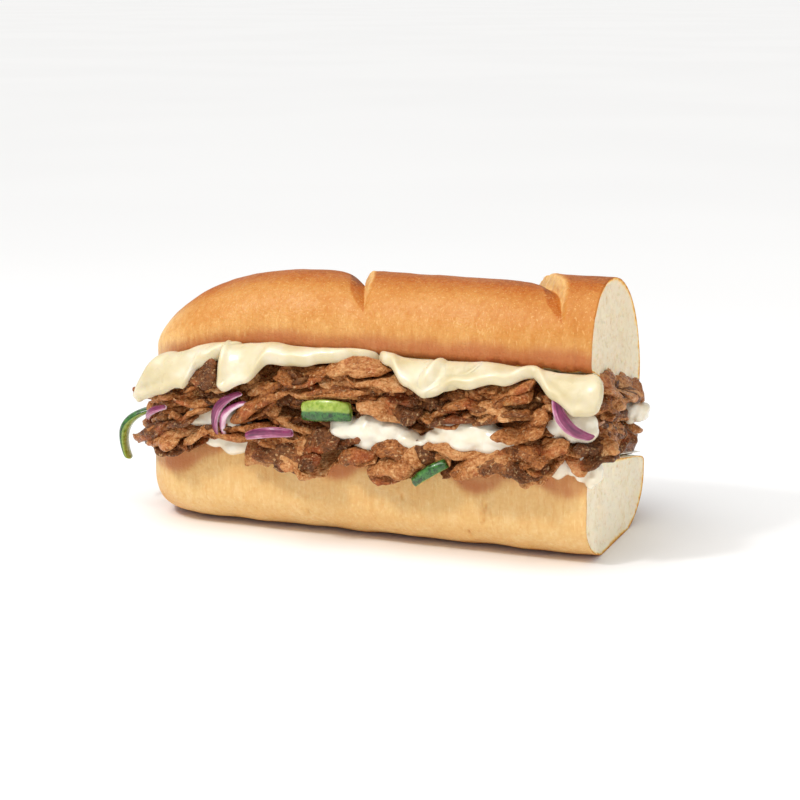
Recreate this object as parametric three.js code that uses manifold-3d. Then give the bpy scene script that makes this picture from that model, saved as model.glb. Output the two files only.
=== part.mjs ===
import * as THREE from "three";
import { mergeVertices } from "three/addons/utils/BufferGeometryUtils.js";
import Module from "manifold-3d";

// A half-length submarine sandwich: a split loaf with shaved steak, melted cheese, white sauce, onion and
// pepper. Millimetres, +Z up. X runs along the loaf to its cut end at +X, and -Y shows the most filling.
const CUT_X = 76;
const LOAF_END_X = -65.2;
const GAP = 0.3;
const CLEARANCE = 0.42;

// Lower half of the loaf
const HEEL = { halfWidth: 31, belly: 13.5, roundDown: 15.1, seat: 24.9, slope: 0.195 };
const HEEL_SECTION = { squareUp: 9, roundPower: 2.2 };
const HEEL_END = { reach: 22, power: 2.6, least: 0.28, drop: 5.5, dropStart: -18, dropLength: 50 };
const HEEL_WRINKLE = 0.35;

// Upper half of the loaf, whose cut underside leans down to the back
const CROWN = { endX: -65.5, middleY: -2.9, halfWidth: 27.6, cutHalfWidth: 25.8, under: 48.6, slope: 0.253 };
const CROWN_TOP = { left: 74.5, middle: 75, right: 77.4, tip: 45.2, archStart: -10, archPower: 2.2 };
const CROWN_END = { reach: 30, power: 2.2, least: 0.2, lift: 6.2, liftLength: 44 };
const CROWN_SECTION = { roundPower: 2.1, squareDown: 6, narrowStartX: 40, underEdge: 4, leastTall: 3 };
const SAG_START_X = -15;
const SAG_LENGTH = 50.5;
const SAG = 9.2;
const CUT_SAG = 0.6;
const CUT_SAG_START_X = 30;
const NOTCH_SKEW = 0.393;
const NOTCHES = [
  { at: -0.7, depth: 4.6, softSide: 3.4, sharpSide: 1.1 },
  { at: 57.4, depth: 4.4, softSide: 4.2, sharpSide: 0.9 },
];
// The second score turns further towards the loaf's own end as it crosses the crown.
const SCORE_TURN = { by: 5, startY: -20, length: 22, within: 10 };

// Outline of the filling in plan: a rectangle with wide corners at the loaf's own end and small ones at the cut
const RIM = { halfWidth: 30, endX: -62.5, endCorner: 22, cutCorner: 6 };
const MIDDLE_RISE = 11.5;
const MIDDLE_EDGE_DROP = 5.5;
const MIDDLE_HALF = 33;
const MIDDLE_MOST = 1.1;
const STEAK_THICKNESS = 2.3;
const CHEESE_THICKNESS = 1.7;
const ONION_THICKNESS = 1.7;
const GOLDEN = 0.618034;

const wasm = await Module();
wasm.setup();

const lerp = (a, b, t) => a + (b - a) * t;
const clamp = THREE.MathUtils.clamp;
const fade = (t) => THREE.MathUtils.smoothstep(t, 0, 1);
const radians = THREE.MathUtils.degToRad;

// Moves every vertex of a geometry by a formula.
function warped(geometry, place) {
  const at = geometry.attributes.position;
  const p = new THREE.Vector3();
  for (let i = 0; i < at.count; i++) {
    p.fromBufferAttribute(at, i);
    at.setXYZ(i, ...place(p.x, p.y, p.z));
  }
  return geometry;
}

// A flat unit slab whose upper and lower faces are split into triangles alike, so that a thin one can be bent.
function slab(along, across) {
  const face = new THREE.PlaneGeometry(1, 1, along, across);
  const count = face.attributes.position.count;
  const upper = new THREE.PlaneGeometry(1, 1, along, across).translate(0, 0, 0.5);
  const lower = new THREE.PlaneGeometry(1, 1, along, across).translate(0, 0, -0.5);
  const positions = [...upper.attributes.position.array, ...lower.attributes.position.array];
  const index = [...face.index.array];
  for (let i = 0; i < face.index.count; i += 3) {
    const [a, b, c] = face.index.array.subarray(i, i + 3);
    index.push(a + count, c + count, b + count);
  }
  const row = along + 1;
  const rim = [];
  for (let i = 0; i < along; i++) rim.push(i);
  for (let j = 0; j < across; j++) rim.push(along + j * row);
  for (let i = along; i > 0; i--) rim.push(across * row + i);
  for (let j = across; j > 0; j--) rim.push(j * row);
  rim.forEach((a, k) => {
    const b = rim[(k + 1) % rim.length];
    index.push(a, b, a + count, b, b + count, a + count);
  });
  const geometry = new THREE.BufferGeometry();
  geometry.setAttribute("position", new THREE.Float32BufferAttribute(positions, 3));
  return geometry.setIndex(index);
}

// A closed geometry as a solid, turned right side out if its formula mirrored it.
function solid(geometry) {
  geometry.deleteAttribute("normal");
  geometry.deleteAttribute("uv");
  const merged = mergeVertices(geometry, 1e-4);
  const triVerts = new Uint32Array(merged.index.array);
  const vertProperties = merged.attributes.position.array;
  const build = () => new wasm.Manifold(new wasm.Mesh({ numProp: 3, vertProperties, triVerts }));
  const made = build();
  if (made.volume() > 0) return made;
  for (let i = 0; i < triVerts.length; i += 3)
    [triVerts[i + 1], triVerts[i + 2]] = [triVerts[i + 2], triVerts[i + 1]];
  return build();
}

const joined = (solids) => solids.reduce((all, next) => all.add(next));
const without = (body, cutters) => cutters.reduce((left, cutter) => left.subtract(cutter), body);
const largest = (body) => body.decompose().sort((a, b) => b.volume() - a.volume())[0];

// Height of the cut face that the filling lies on, and of the one that closes it above.
const endFade = (x) => fade((HEEL_END.dropStart - x) / HEEL_END.dropLength);
const floorZ = (x, y) => HEEL.seat - HEEL.slope * y - HEEL_END.drop * endFade(x);
const endSag = (x) => SAG * clamp((SAG_START_X - x) / SAG_LENGTH, 0, 1) ** 2;
const cutSag = (x) => CUT_SAG * fade((x - CUT_SAG_START_X) / (CUT_X - CUT_SAG_START_X));
const awayFromEnd = (x) => fade((x - CROWN.endX) / CROWN_END.liftLength);
const roofZ = (x, y) => {
  const level = CROWN.under + CROWN_END.lift * (1 - awayFromEnd(x)) - endSag(x) - cutSag(x);
  return level - CROWN.slope * awayFromEnd(x) * (y - CROWN.middleY);
};
const middleZ = (x, y) => {
  const edge = Math.min(Math.abs(y) / MIDDLE_HALF, MIDDLE_MOST) ** 3;
  return floorZ(x, y) + MIDDLE_RISE - MIDDLE_EDGE_DROP * edge;
};

// How much of the full width is left near a rounded end.
function endRound(x, endX, { reach, power, least }) {
  const u = clamp((endX + reach - x) / reach, 0, 1);
  return Math.max((1 - u ** power) ** (1 / power), least);
}

// A point on a section that is round or square above and below by two powers, in the direction of an angle.
function sectionPoint(angle, powerUp, powerDown) {
  const c = Math.cos(angle);
  const s = Math.sin(angle);
  const power = s >= 0 ? powerUp : powerDown;
  const radius = (Math.abs(c) ** power + Math.abs(s) ** power) ** (-1 / power);
  return [radius * c, radius * s];
}

// A closed body of rings, each placed by its share of the length, the angle round it and 0 at its middle.
function rings(sides, count, place) {
  const tube = new THREE.CylinderGeometry(1, 1, 1, sides, count);
  return solid(warped(tube, (x, y, z) => place(y + 0.5, Math.atan2(z, x), Math.hypot(x, z))));
}

function lowerBun(grow = 0) {
  return rings(28, 14, (t, angle, out) => {
    const x = lerp(LOAF_END_X, CUT_X, t ** 1.5) + (t - 0.5) * 2 * grow;
    const share = endRound(x, LOAF_END_X, HEEL_END);
    const [across, up] = sectionPoint(angle, HEEL_SECTION.squareUp, HEEL_SECTION.roundPower);
    const y = (HEEL.halfWidth * share + grow) * across * out;
    const wrinkle = HEEL_WRINKLE * Math.sin(x * 0.31) * Math.sin(x * 0.083 + 1) * out;
    const z =
      up >= 0
        ? HEEL.belly + (floorZ(x, y) + grow - HEEL.belly) * up * out
        : HEEL.belly + (HEEL.roundDown * Math.sqrt(share) + wrinkle + grow) * up * out;
    return [x, y, grow ? z : Math.max(z, 0)];
  });
}

// The baked top: three swellings parted by two slanting score cuts.
function crownLine(x) {
  const { left, middle, right, tip, archStart, archPower } = CROWN_TOP;
  const arch = clamp((archStart - x) / (archStart - CROWN.endX), 0, 1);
  const first = tip + (left - tip) * (1 - arch ** archPower) ** (1 / archPower);
  const second = lerp(first, middle, fade((x + 4) / 10));
  return lerp(second, right, fade((x - 48) / 12));
}

// How far a place on the top lies from its station: the scores slant, and the second turns across the crown.
function slantAt(u, y) {
  const slanting = fade((u - CROWN.endX - 20) / 30) * fade((CUT_X - u) / 20);
  const nearScore = Math.exp(-(((u - NOTCHES[1].at) / SCORE_TURN.within) ** 2));
  const turned = SCORE_TURN.by * fade((y - SCORE_TURN.startY) / SCORE_TURN.length) * nearScore;
  return (NOTCH_SKEW * (y + 2) + turned) * slanting;
}

function notchDepth(u) {
  return Math.max(
    ...NOTCHES.map(({ at, depth, softSide, sharpSide }) => {
      const away = (at - u) / (u < at ? softSide : sharpSide);
      return depth * Math.exp(-(Math.abs(away) ** 1.3));
    }),
  );
}

// Stations along the top, close together at the scores.
function crownStations() {
  const even = Array.from({ length: 17 }, (_, i) => lerp(CROWN.endX, CUT_X, (i / 16) ** 1.35));
  const near = NOTCHES.flatMap(({ at }) => [at - 5, at - 1.8, at, at + 1.5, at + 4]);
  const kept = even.filter((x) => NOTCHES.every(({ at }) => Math.abs(x - at) > 6));
  return [...kept, ...near].sort((a, b) => a - b);
}

function upperBun(grow = 0) {
  const stations = crownStations();
  const count = stations.length - 1;
  return rings(26, count, (t, angle, out) => {
    const u = stations[Math.round(t * count)];
    const share = endRound(u, CROWN.endX, CROWN_END);
    const { roundPower, squareDown, narrowStartX, underEdge, leastTall } = CROWN_SECTION;
    const width = lerp(CROWN.halfWidth, CROWN.cutHalfWidth, fade((u - narrowStartX) / (CUT_X - narrowStartX)));
    const [across, up] = sectionPoint(angle, roundPower, squareDown);
    const y = CROWN.middleY + (width * share + grow) * across * out;
    const x = u - slantAt(u, y) + (t - 0.5) * 2 * grow;
    const under = roofZ(x, y);
    const tall = Math.max(crownLine(u) - roofZ(u, CROWN.middleY), leastTall);
    const edge = Math.min(underEdge, tall * 0.4);
    const scored = grow ? 0 : notchDepth(u) * fade((up - 0.25) / 0.45) * out;
    const reach = (up >= 0 ? tall - edge - scored : edge) + grow;
    return [x, y, under + edge + reach * up * out];
  });
}

// The nearest point of the filling's outline, how far past it a place is, and which way is out.
function rimAt(x, y) {
  const corner = x < 0 ? RIM.endCorner : RIM.cutCorner;
  const coreX = clamp(x, RIM.endX + RIM.endCorner, CUT_X - RIM.cutCorner);
  const coreY = clamp(y, corner - RIM.halfWidth, RIM.halfWidth - corner);
  const far = Math.hypot(x - coreX, y - coreY);
  const outX = far ? (x - coreX) / far : 0;
  const outY = far ? (y - coreY) / far : 0;
  return { x: coreX + outX * corner, y: coreY + outY * corner, outX, outY, past: far - corner };
}

// Half the width of that outline along X.
function halfAt(x) {
  const intoCorner = Math.max(RIM.endX + RIM.endCorner - x, 0);
  return RIM.halfWidth - RIM.endCorner + Math.sqrt(Math.max(RIM.endCorner ** 2 - intoCorner ** 2, 0));
}

// A place on a sheet that lies on a surface and falls over the filling's edge, with its way out and its turn.
function fallen(x, y, surface, start, bend, lean) {
  const rim = rimAt(x, y);
  const past = rim.past - start;
  if (past <= 0) return { x, y, z: surface(x, y), outX: 0, outY: Math.sign(y), turn: 0 };
  const turn = Math.min(past / bend, Math.PI / 2 - lean);
  const straight = past - turn * bend;
  const out = start + bend * Math.sin(turn) + straight * Math.cos(turn);
  const down = bend * (1 - Math.cos(turn)) + straight * Math.sin(turn);
  return {
    x: rim.x + rim.outX * out,
    y: rim.y + rim.outY * out,
    z: surface(rim.x + rim.outX * start, rim.y + rim.outY * start) - down,
    outX: rim.outX,
    outY: rim.outY,
    turn,
  };
}

// A sheet over a patch of the plan, with its columns closer together towards the front and back edges. Its left
// and right edges are given by the share across, and its front and back edges by X.
function sheet({ along, across, left, right, back, front, surface, start, bend, lean, thickness }, grow = 0) {
  const box = slab(along, across);
  return solid(
    warped(box, (a, b, c) => {
      const u = a + 0.5;
      const v = 0.5 - 0.5 * Math.sin(Math.PI * b);
      const x = lerp(left(v), right(v), u);
      const y = lerp(back(x), front(x), v);
      const at = fallen(x, y, surface, start, bend, lean);
      const high = c > 0 ? thickness(u, v) + grow : -grow;
      const wider = Math.abs(b) === 0.5 ? grow : 0;
      const sideways = high * Math.sin(at.turn) + wider * Math.cos(at.turn);
      const longer = Math.abs(a) === 0.5 ? 2 * a * grow : 0;
      return [
        at.x + at.outX * sideways + longer,
        at.y + at.outY * sideways,
        at.z + high * Math.cos(at.turn) - wider * Math.sin(at.turn),
      ];
    }),
  );
}

// Straight runs between a few named heights along X.
function profile(points) {
  return (x) => {
    const next = points.findIndex(([px]) => px >= x);
    if (next === 0) return points[0][1];
    if (next < 0) return points[points.length - 1][1];
    const [x0, z0] = points[next - 1];
    const [x1, z1] = points[next];
    return lerp(z0, z1, (x - x0) / (x1 - x0));
  };
}

// Four slices of cheese under the top, each from the back to the front, where they melt over the steak.
const CHEESE_SINK = 0.9;
const cheeseBed = (x, y) => roofZ(x, clamp(y, -40, 26)) - CHEESE_THICKNESS - CHEESE_SINK;
const CHEESE_START = 2.5;
const CHEESE_BEND = 5.5;
const CHEESE_LEAN = 0.25;
// A slice's left edge runs straight where its turn is 1, and swings out late towards the front where it is more.
const CHEESE_SLICES = [
  {
    name: "cheese_1",
    edges: [-44, -66.5, -24, -26],
    turn: 8,
    hang: [[-66.5, 36], [-60, 39.5], [-54, 41], [-47, 42.5], [-42, 42.5], [-38, 37.5], [-24, 34]],
    behind: [[-50, 36], [-38, 39], [-25, 35]],
  },
  {
    name: "cheese_2",
    edges: [-36, -33, 8, 15],
    turn: 1,
    hang: [[-34, 46], [-29.5, 45], [-22, 42.5], [-16.5, 37.5], [0, 36], [14, 33]],
    behind: [[-36, 33], [-15, 38], [12, 32]],
  },
  {
    name: "cheese_3",
    edges: [6, 20, 41, 48],
    turn: 1,
    hang: [[20, 36.5], [26, 39.5], [32, 43], [40, 40], [48, 35]],
    behind: [[6, 33], [25, 39], [46, 34]],
  },
  {
    name: "cheese_4",
    edges: [38, 28, 66, 81.5],
    turn: 6,
    hang: [[26, 42], [32, 42.5], [40, 40], [54, 37.7], [61.5, 34.5], [68, 40], [75, 43.5], [79, 42]],
    behind: [[33, 32], [50, 39], [70, 34]],
  },
];

function cheeseSlice({ edges, turn, hang, behind }, grow = 0) {
  const [leftBack, leftFront, rightBack, rightFront] = edges;
  const front = profile(hang);
  const back = profile(behind);
  return sheet(
    {
      along: 7,
      across: 8,
      left: (v) => lerp(leftBack, leftFront, v ** turn),
      right: (v) => lerp(rightBack, rightFront, v),
      back: (x) => back(x),
      front: (x) => -front(x),
      surface: cheeseBed,
      start: CHEESE_START,
      bend: CHEESE_BEND,
      lean: CHEESE_LEAN,
      thickness: (u, v) => {
        const middle = 0.25 * Math.sin(Math.PI * Math.min(u * 1.1, 1));
        const bead = 0.35 * fade(v * 8 - 7);
        return CHEESE_THICKNESS * (0.75 + middle + bead);
      },
    },
    grow,
  );
}

// A layer across the whole filling between two surfaces, drawn in from the outline.
function layer(along, across, inset, lower, upper, grow = 0) {
  const box = slab(along, across);
  return solid(
    warped(box, (a, b, c) => {
      const x = lerp(RIM.endX + inset, CUT_X - 0.5 - inset * 0.4, (a + 0.5) ** 1.25);
      const y = 2 * b * (halfAt(x) - inset);
      const longer = Math.abs(a) === 0.5 ? 2 * a * grow : 0;
      const wider = Math.abs(b) === 0.5 ? 2 * b * grow : 0;
      return [x + longer, y + wider, c < 0 ? lower(x, y) - grow : upper(x, y) + grow];
    }),
  );
}

// A round lump of sauce, wider than it is tall.
function lump({ x, y, z, long, deep, high }, grow = 0) {
  const ball = new THREE.SphereGeometry(1, 8, 4);
  return solid(
    warped(ball, (a, b, c) => {
      const swell = 1 + 0.1 * Math.sin(3 * a + x) + 0.08 * Math.sin(4 * b + 2 * c + z);
      return [x + a * (long * swell + grow), y + c * (deep + grow), z + b * (high * swell + grow)];
    }),
  );
}

// Sauce spread on the lower half, with tongues that run over its lip: where, how wide and how far down.
const LIP_TONGUES = [
  { at: -31, wide: 9, fall: 5.5, side: -1 },
  { at: 9, wide: 4.5, fall: 4.5, side: -1 },
  { at: 31.5, wide: 5.5, fall: 4, side: -1 },
  { at: 55.5, wide: 6.5, fall: 4.5, side: -1 },
  { at: 69, wide: 5, fall: 5, side: -1 },
  { at: 76.5, wide: 3.5, fall: 7, side: -1 },
  { at: -22, wide: 7, fall: 4.5, side: 1 },
];

function lipSauce(grow = 0) {
  const bed = (x, y) => floorZ(x, y) + 0.5;
  const spread = layer(8, 4, 0.8, bed, (x, y) => bed(x, y) + 1.1, grow);
  const tongues = LIP_TONGUES.map(({ at, wide, fall, side }) => {
    const y = side * (HEEL.halfWidth - 0.4);
    const z = floorZ(at, y) + 1.2 - fall / 2;
    return lump({ x: at, y, z, long: wide, deep: 4, high: fall / 2 + 1.5 }, grow);
  });
  return joined([spread, ...tongues]);
}

const DOLLOPS = [
  { x: -33, y: -33, z: 35, long: 10, deep: 4.5, high: 3.4 },
  { x: 13, y: -33.5, z: 34.8, long: 11.5, deep: 5, high: 4.6 },
  { x: 26, y: -33, z: 32.6, long: 6, deep: 4.5, high: 2.8 },
  { x: 44, y: -33.5, z: 36, long: 14.5, deep: 5, high: 4.4 },
  { x: 72, y: -31.5, z: 40.6, long: 7, deep: 4.5, high: 4.2 },
  { x: -56.5, y: -15, z: 33.5, long: 6, deep: 7, high: 2.8 },
  { x: 76.5, y: 15, z: 35.5, long: 4.5, deep: 6, high: 3.2 },
  { x: 52, y: 32, z: 25.5, long: 11, deep: 4.5, high: 3.6 },
  { x: 14, y: 32, z: 25, long: 12, deep: 4.5, high: 4 },
  { x: -28, y: 31.5, z: 24, long: 9, deep: 4.5, high: 3.4 },
];

const SPREAD_HALF = 0.9;
const LAYER_INSET = 1.5;

function middleSauce(grow = 0) {
  const below = (x, y) => middleZ(x, y) - SPREAD_HALF;
  const above = (x, y) => middleZ(x, y) + SPREAD_HALF;
  const spread = layer(8, 4, LAYER_INSET, below, above, grow);
  return joined([spread, ...DOLLOPS.map((dollop) => lump(dollop, grow))]);
}

// A point round the filling's outline, by its distance from the middle of the front, with the way out.
function alongRim(distance) {
  const arcStart = RIM.endX + RIM.endCorner;
  const side = 2 * (RIM.halfWidth - RIM.endCorner);
  const quarter = (RIM.endCorner * Math.PI) / 2;
  const cutStart = CUT_X - RIM.cutCorner;
  const smallQuarter = (RIM.cutCorner * Math.PI) / 2;
  const rounded = (angle, centreX, centreY, radius, sign) => ({
    x: centreX + sign * radius * Math.sin(angle),
    y: centreY - radius * Math.cos(angle),
    outX: sign * Math.sin(angle),
    outY: -Math.cos(angle),
  });
  if (distance < arcStart) {
    const left = arcStart - distance;
    const centreY = RIM.halfWidth - RIM.endCorner;
    if (left < quarter) return rounded(left / RIM.endCorner, arcStart, -centreY, RIM.endCorner, -1);
    if (left < quarter + side) return { x: RIM.endX, y: left - quarter - centreY, outX: -1, outY: 0 };
    if (left < 2 * quarter + side)
      return rounded((left - side) / RIM.endCorner, arcStart, centreY, RIM.endCorner, -1);
    return { x: arcStart + left - 2 * quarter - side, y: RIM.halfWidth, outX: 0, outY: 1 };
  }
  if (distance < cutStart) return { x: distance, y: -RIM.halfWidth, outX: 0, outY: -1 };
  const right = distance - cutStart;
  const centreY = RIM.cutCorner - RIM.halfWidth;
  if (right < smallQuarter) return rounded(right / RIM.cutCorner, cutStart, centreY, RIM.cutCorner, 1);
  return { x: CUT_X, y: centreY + right - smallQuarter, outX: 1, outY: 0 };
}

// Moves a geometry drawn round its own middle to a place on the outline, y pointing into the food.
function onRim(geometry, { rim, z, out, slant = 0, droop = 0, turn = 0 }) {
  const at = alongRim(rim);
  const frame = new THREE.Matrix4().makeBasis(
    new THREE.Vector3(-at.outY, at.outX, 0),
    new THREE.Vector3(-at.outX, -at.outY, 0),
    new THREE.Vector3(0, 0, 1),
  );
  geometry.rotateX(radians(droop)).rotateY(-radians(slant)).rotateZ(radians(turn)).translate(0, -out, z);
  return geometry.applyMatrix4(frame.setPosition(at.x, at.y, 0));
}

// One shaved slice of steak: thin, wavy and ragged, thinner towards its edges.
function steakSlice(row, index) {
  const [rim, z, length, width, reach, slant, droop, curl] = row;
  const box = slab(rim < RIM.endX ? 2 : 3, 1);
  const own = index * GOLDEN * 6.283;
  const flake = warped(box, (a, b, c) => {
    const u = 2 * a;
    const v = 2 * b;
    const ragged = 1 + 0.16 * Math.sin(2.9 * u + own) + 0.08 * Math.sin(7.3 * u + 2 * own);
    const thin = 1 - 0.35 * Math.max(Math.abs(u) ** 3, Math.abs(v) ** 3);
    const wave = curl * (0.5 * Math.cos(2.6 * u + own) + 0.35 * Math.sin(1.9 * v + 1.7 * u + 2 * own));
    return [
      (length / 2) * u * (1 - 0.22 * v * v * (1 + 0.5 * Math.sin(own))),
      (width / 2) * v * ragged * (1 - 0.25 * u * u),
      STEAK_THICKNESS * c * thin + wave,
    ];
  });
  const out = reach - (width / 2) * Math.cos(radians(droop));
  return solid(onRim(flake, { rim, z, out, slant, droop, turn: 14 * Math.sin(own) }));
}

// The slices that show most, from the loaf's own end to the cut: place round the outline, height, length,
// width, how far the outer edge stands out, slant along the side, droop of the outer edge, and curl.
const SHOWN_UPPER = [
  [-62.5, 38, 11, 11, 8, 10, 5, 2],
  [-44, 42, 19, 13, 7.5, 25, 25, 2],
  [-37, 46.5, 12, 13, 6.5, 5, 50, 2],
  [-37, 40.8, 20, 14, 8, 8, 12, 2.5],
  [-19, 41.5, 27, 12, 8, 32, 18, 2.5],
  [-13, 45.5, 23, 13, 7, 26, 15, 2],
  [-2, 49.5, 16, 14, 6.5, -6, 25, 2],
  [13, 49.8, 22, 15, 7, -3, 14, 3],
  [3, 45.6, 31, 14, 8.5, 4, 8, 2.5],
  [20, 43.5, 21, 13, 7, -6, 55, 2],
  [36, 45, 15, 13, 7.5, 10, 22, 2],
  [52, 48, 21, 13, 7.5, 20, 32, 2],
  [38, 41, 21, 14, 8, 5, 6, 2],
  [53, 43.6, 22, 14, 8.5, 8, 15, 2.5],
  [59, 39.8, 15, 12, 8, 18, 50, 2],
  [81, 45.5, 14, 12, 5, 12, 35, 3],
  [98, 46.5, 18, 13, 6.5, -12, 20, 3],
];
const SHOWN_LOWER = [
  [-46.5, 31.5, 30, 11, 8, 22, 8, 2],
  [-54.5, 27.5, 22, 12, 8.5, 24, 6, 2],
  [-38, 31.8, 22, 11, 8, 16, 10, 2],
  [-47, 28.6, 18, 16, 8.5, 8, 38, 2],
  [-28, 31.6, 20, 13, 8, 3, 16, 2],
  [-14, 28.8, 22, 17, 9, -8, 50, 2.5],
  [-3, 28, 20, 17, 9, 9, 54, 2.5],
  [9, 30.5, 15, 15, 8, 14, 44, 2],
  [22, 28.8, 18, 17, 9, 5, 54, 2],
  [33, 31.2, 17, 15, 8.5, -6, 44, 2],
  [46, 31, 24, 16, 9.5, 11, 42, 2.5],
  [64, 32.6, 15, 14, 8.5, 15, 38, 2],
  [59, 28.8, 17, 17, 9, 3, 54, 2],
  [75, 34, 15, 14, 7.5, 15, 30, 2.5],
];

// The rest of the slices round the ends and the back, spread by a rule between the two cut faces.
function spreadSlices(count, [from, to], low, high, first, leastReach = 4.5) {
  return Array.from({ length: count }, (_, i) => {
    const draw = (step) => ((first + i) * GOLDEN * step) % 1;
    const rim = lerp(from, to, (i + 0.5) / count);
    const at = alongRim(rim);
    const foot = floorZ(at.x, at.y);
    const z = lerp(foot + low, foot + high, draw(3));
    const length = 15 + 12 * draw(5);
    const width = 12 + 3 * draw(7);
    const reach = leastReach + 3.5 * draw(2);
    return [rim, z, length, width, reach, 50 * (draw(4) - 0.5), 8 + 40 * draw(6), 2.5];
  });
}
const BACK = [-236.5, -124.5];
const LOAF_END = [-120.5, -58.5];
const CUT_FACE = [84, 126];
const CUT_REACH = 2.5;
const restUpper = [
  ...spreadSlices(5, BACK, 9, 19, 3),
  ...spreadSlices(3, LOAF_END, 10, 17, 31),
  ...spreadSlices(5, CUT_FACE, 10, 21, 47, CUT_REACH),
];
const restLower = [
  ...spreadSlices(4, BACK, -1, 4, 11),
  ...spreadSlices(4, LOAF_END, 1, 6, 23),
  ...spreadSlices(3, CUT_FACE, 2, 6, 59, CUT_REACH),
];

// Everything above or below the surface that parts the two heaps of steak.
function halfSpace(above) {
  const box = slab(6, 4);
  return solid(
    warped(box, (a, b, c) => {
      const x = 240 * a;
      const y = 120 * b;
      const z = middleZ(x, y) + (above ? -GAP : GAP) / 2;
      return [x, y, c > 0 === above ? z + (above ? 80 : -80) : z];
    }),
  );
}

// Red onion: thin curved strips. Green pepper: thicker ones, skin outside. Each row is one strip that shows.
const ONIONS = [
  { name: "onion_1", rim: -30, z: 38, out: 9.2, length: 15, high: 2.6, bow: 3.2, slant: 58 },
  { name: "onion_2", rim: -15.5, z: 32.8, out: 10.4, length: 15, high: 3, bow: 1, slant: 8 },
  { name: "onion_3", rim: -50.5, z: 35.2, out: 9.4, length: 10, high: 2, bow: 0.6, slant: 28 },
  { name: "onion_4", rim: 71.8, z: 43.6, out: 8.6, length: 16, high: 2.8, bow: -3, slant: -52 },
  { name: "onion_5", rim: -156.5, z: 31, out: 8.8, length: 16, high: 2.6, bow: 2.5, slant: 40 },
  { name: "onion_6", rim: -201.5, z: 28, out: 9, length: 14, high: 2.8, bow: -2, slant: -20 },
];
const PEPPERS = [
  { name: "pepper_1", rim: 1.6, z: 40.4, out: 8.6, length: 15, high: 6.2, bow: 0.6, slant: 3, thick: 2.6 },
  {
    name: "pepper_2",
    rim: -71.5,
    z: 23.8,
    out: 10.9,
    length: 19,
    high: 2.8,
    bow: 5.5,
    slant: 58,
    thick: 5.5,
    turn: 90,
  },
  { name: "pepper_3", rim: 32.6, z: 25.4, out: 8.4, length: 12, high: 3.2, bow: 0.5, slant: 34, thick: 2.6 },
  { name: "pepper_4", rim: -178.5, z: 33.5, out: 8.8, length: 15, high: 5, bow: 1, slant: -10, thick: 2.8 },
];

const STRIP = { narrowing: 0.35, rounding: 0.3, hollow: 1.6 };

function strip({ rim, z, out, length, high, bow, slant, thick = ONION_THICKNESS, turn = 0 }, grow = 0) {
  const box = new THREE.BoxGeometry(1, 1, 1, 8, 1, 2);
  const bent = warped(box, (a, b, c) => {
    const u = 2 * a;
    const narrow = 1 - STRIP.narrowing * u * u;
    const round = 1 - STRIP.rounding * (2 * c) ** 2;
    return [
      (length / 2 + grow) * u,
      2 * b * (thick / 2 + grow) * round + STRIP.hollow * u * u,
      2 * c * ((high / 2) * narrow + grow) + bow * (0.5 - u * u),
    ];
  });
  return solid(onRim(bent, { rim, z, out, slant, turn }));
}

// Priority of room: loaf, strips, cheese, sauce, steak. What comes later is cut clear of what comes before.
const grown = {
  heel: lowerBun(GAP),
  crown: upperBun(GAP),
  strips: [...ONIONS, ...PEPPERS].map((row) => strip(row, GAP)),
  cheese: CHEESE_SLICES.map((row) => cheeseSlice(row, CLEARANCE)),
  lipSauce: lipSauce(CLEARANCE),
  middleSauce: middleSauce(CLEARANCE),
};
const bread = [grown.heel, grown.crown];

// Slices of cheese lie over each other: the second over both neighbours, the last over the third.
const CHEESE_UNDER = [[1], [], [1, 3], []];
const cheese = CHEESE_SLICES.map((row, i) => {
  const under = CHEESE_UNDER[i].map((k) => grown.cheese[k]);
  return largest(without(cheeseSlice(row), [...bread, ...grown.strips, ...under]));
});

const spreadOnHeel = largest(without(lipSauce(), [...bread, ...grown.strips, ...grown.cheese]));
const spreadBetween = largest(
  without(middleSauce(), [...bread, ...grown.strips, ...grown.cheese, grown.lipSauce]),
);

const others = [...bread, ...grown.strips, ...grown.cheese, grown.lipSauce, grown.middleSauce];

function heap(rows, first, lower, upper, limit) {
  const core = layer(8, 3, LAYER_INSET, lower, upper);
  const slices = rows.map((row, i) => steakSlice(row, first + i));
  return largest(without(joined([core, ...slices]), [...others, limit]));
}

const steakBelow = heap(
  [...SHOWN_LOWER, ...restLower],
  1,
  (x, y) => floorZ(x, y) + 1.9,
  (x, y) => middleZ(x, y) - 1.3,
  halfSpace(true),
);
const steakAbove = heap(
  [...SHOWN_UPPER, ...restUpper],
  60,
  (x, y) => middleZ(x, y) + 1.3,
  (x, y) => roofZ(x, y) - CHEESE_THICKNESS - 2.2,
  halfSpace(false),
);

const MATERIALS = {
  crust: { color: 0xd9904c, roughness: 0.55, metalness: 0 },
  paleCrust: { color: 0xe0b478, roughness: 0.6, metalness: 0 },
  steak: { color: 0x7d5232, roughness: 0.5, metalness: 0 },
  cheese: { color: 0xf8f0d8, roughness: 0.35, metalness: 0 },
  sauce: { color: 0xf6f0e2, roughness: 0.25, metalness: 0 },
  onion: { color: 0xa85a7c, roughness: 0.3, metalness: 0 },
  pepper: { color: 0x6a8a34, roughness: 0.3, metalness: 0 },
};

const sandwich = new THREE.Group();

function addPiece(name, body, material) {
  const mesh = body.getMesh();
  const geometry = new THREE.BufferGeometry();
  geometry.setAttribute("position", new THREE.BufferAttribute(mesh.vertProperties, mesh.numProp));
  geometry.setIndex(new THREE.BufferAttribute(mesh.triVerts, 1));
  geometry.computeVertexNormals();
  const piece = new THREE.Mesh(geometry, new THREE.MeshStandardMaterial(MATERIALS[material]));
  piece.name = name;
  sandwich.add(piece);
}

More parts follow.
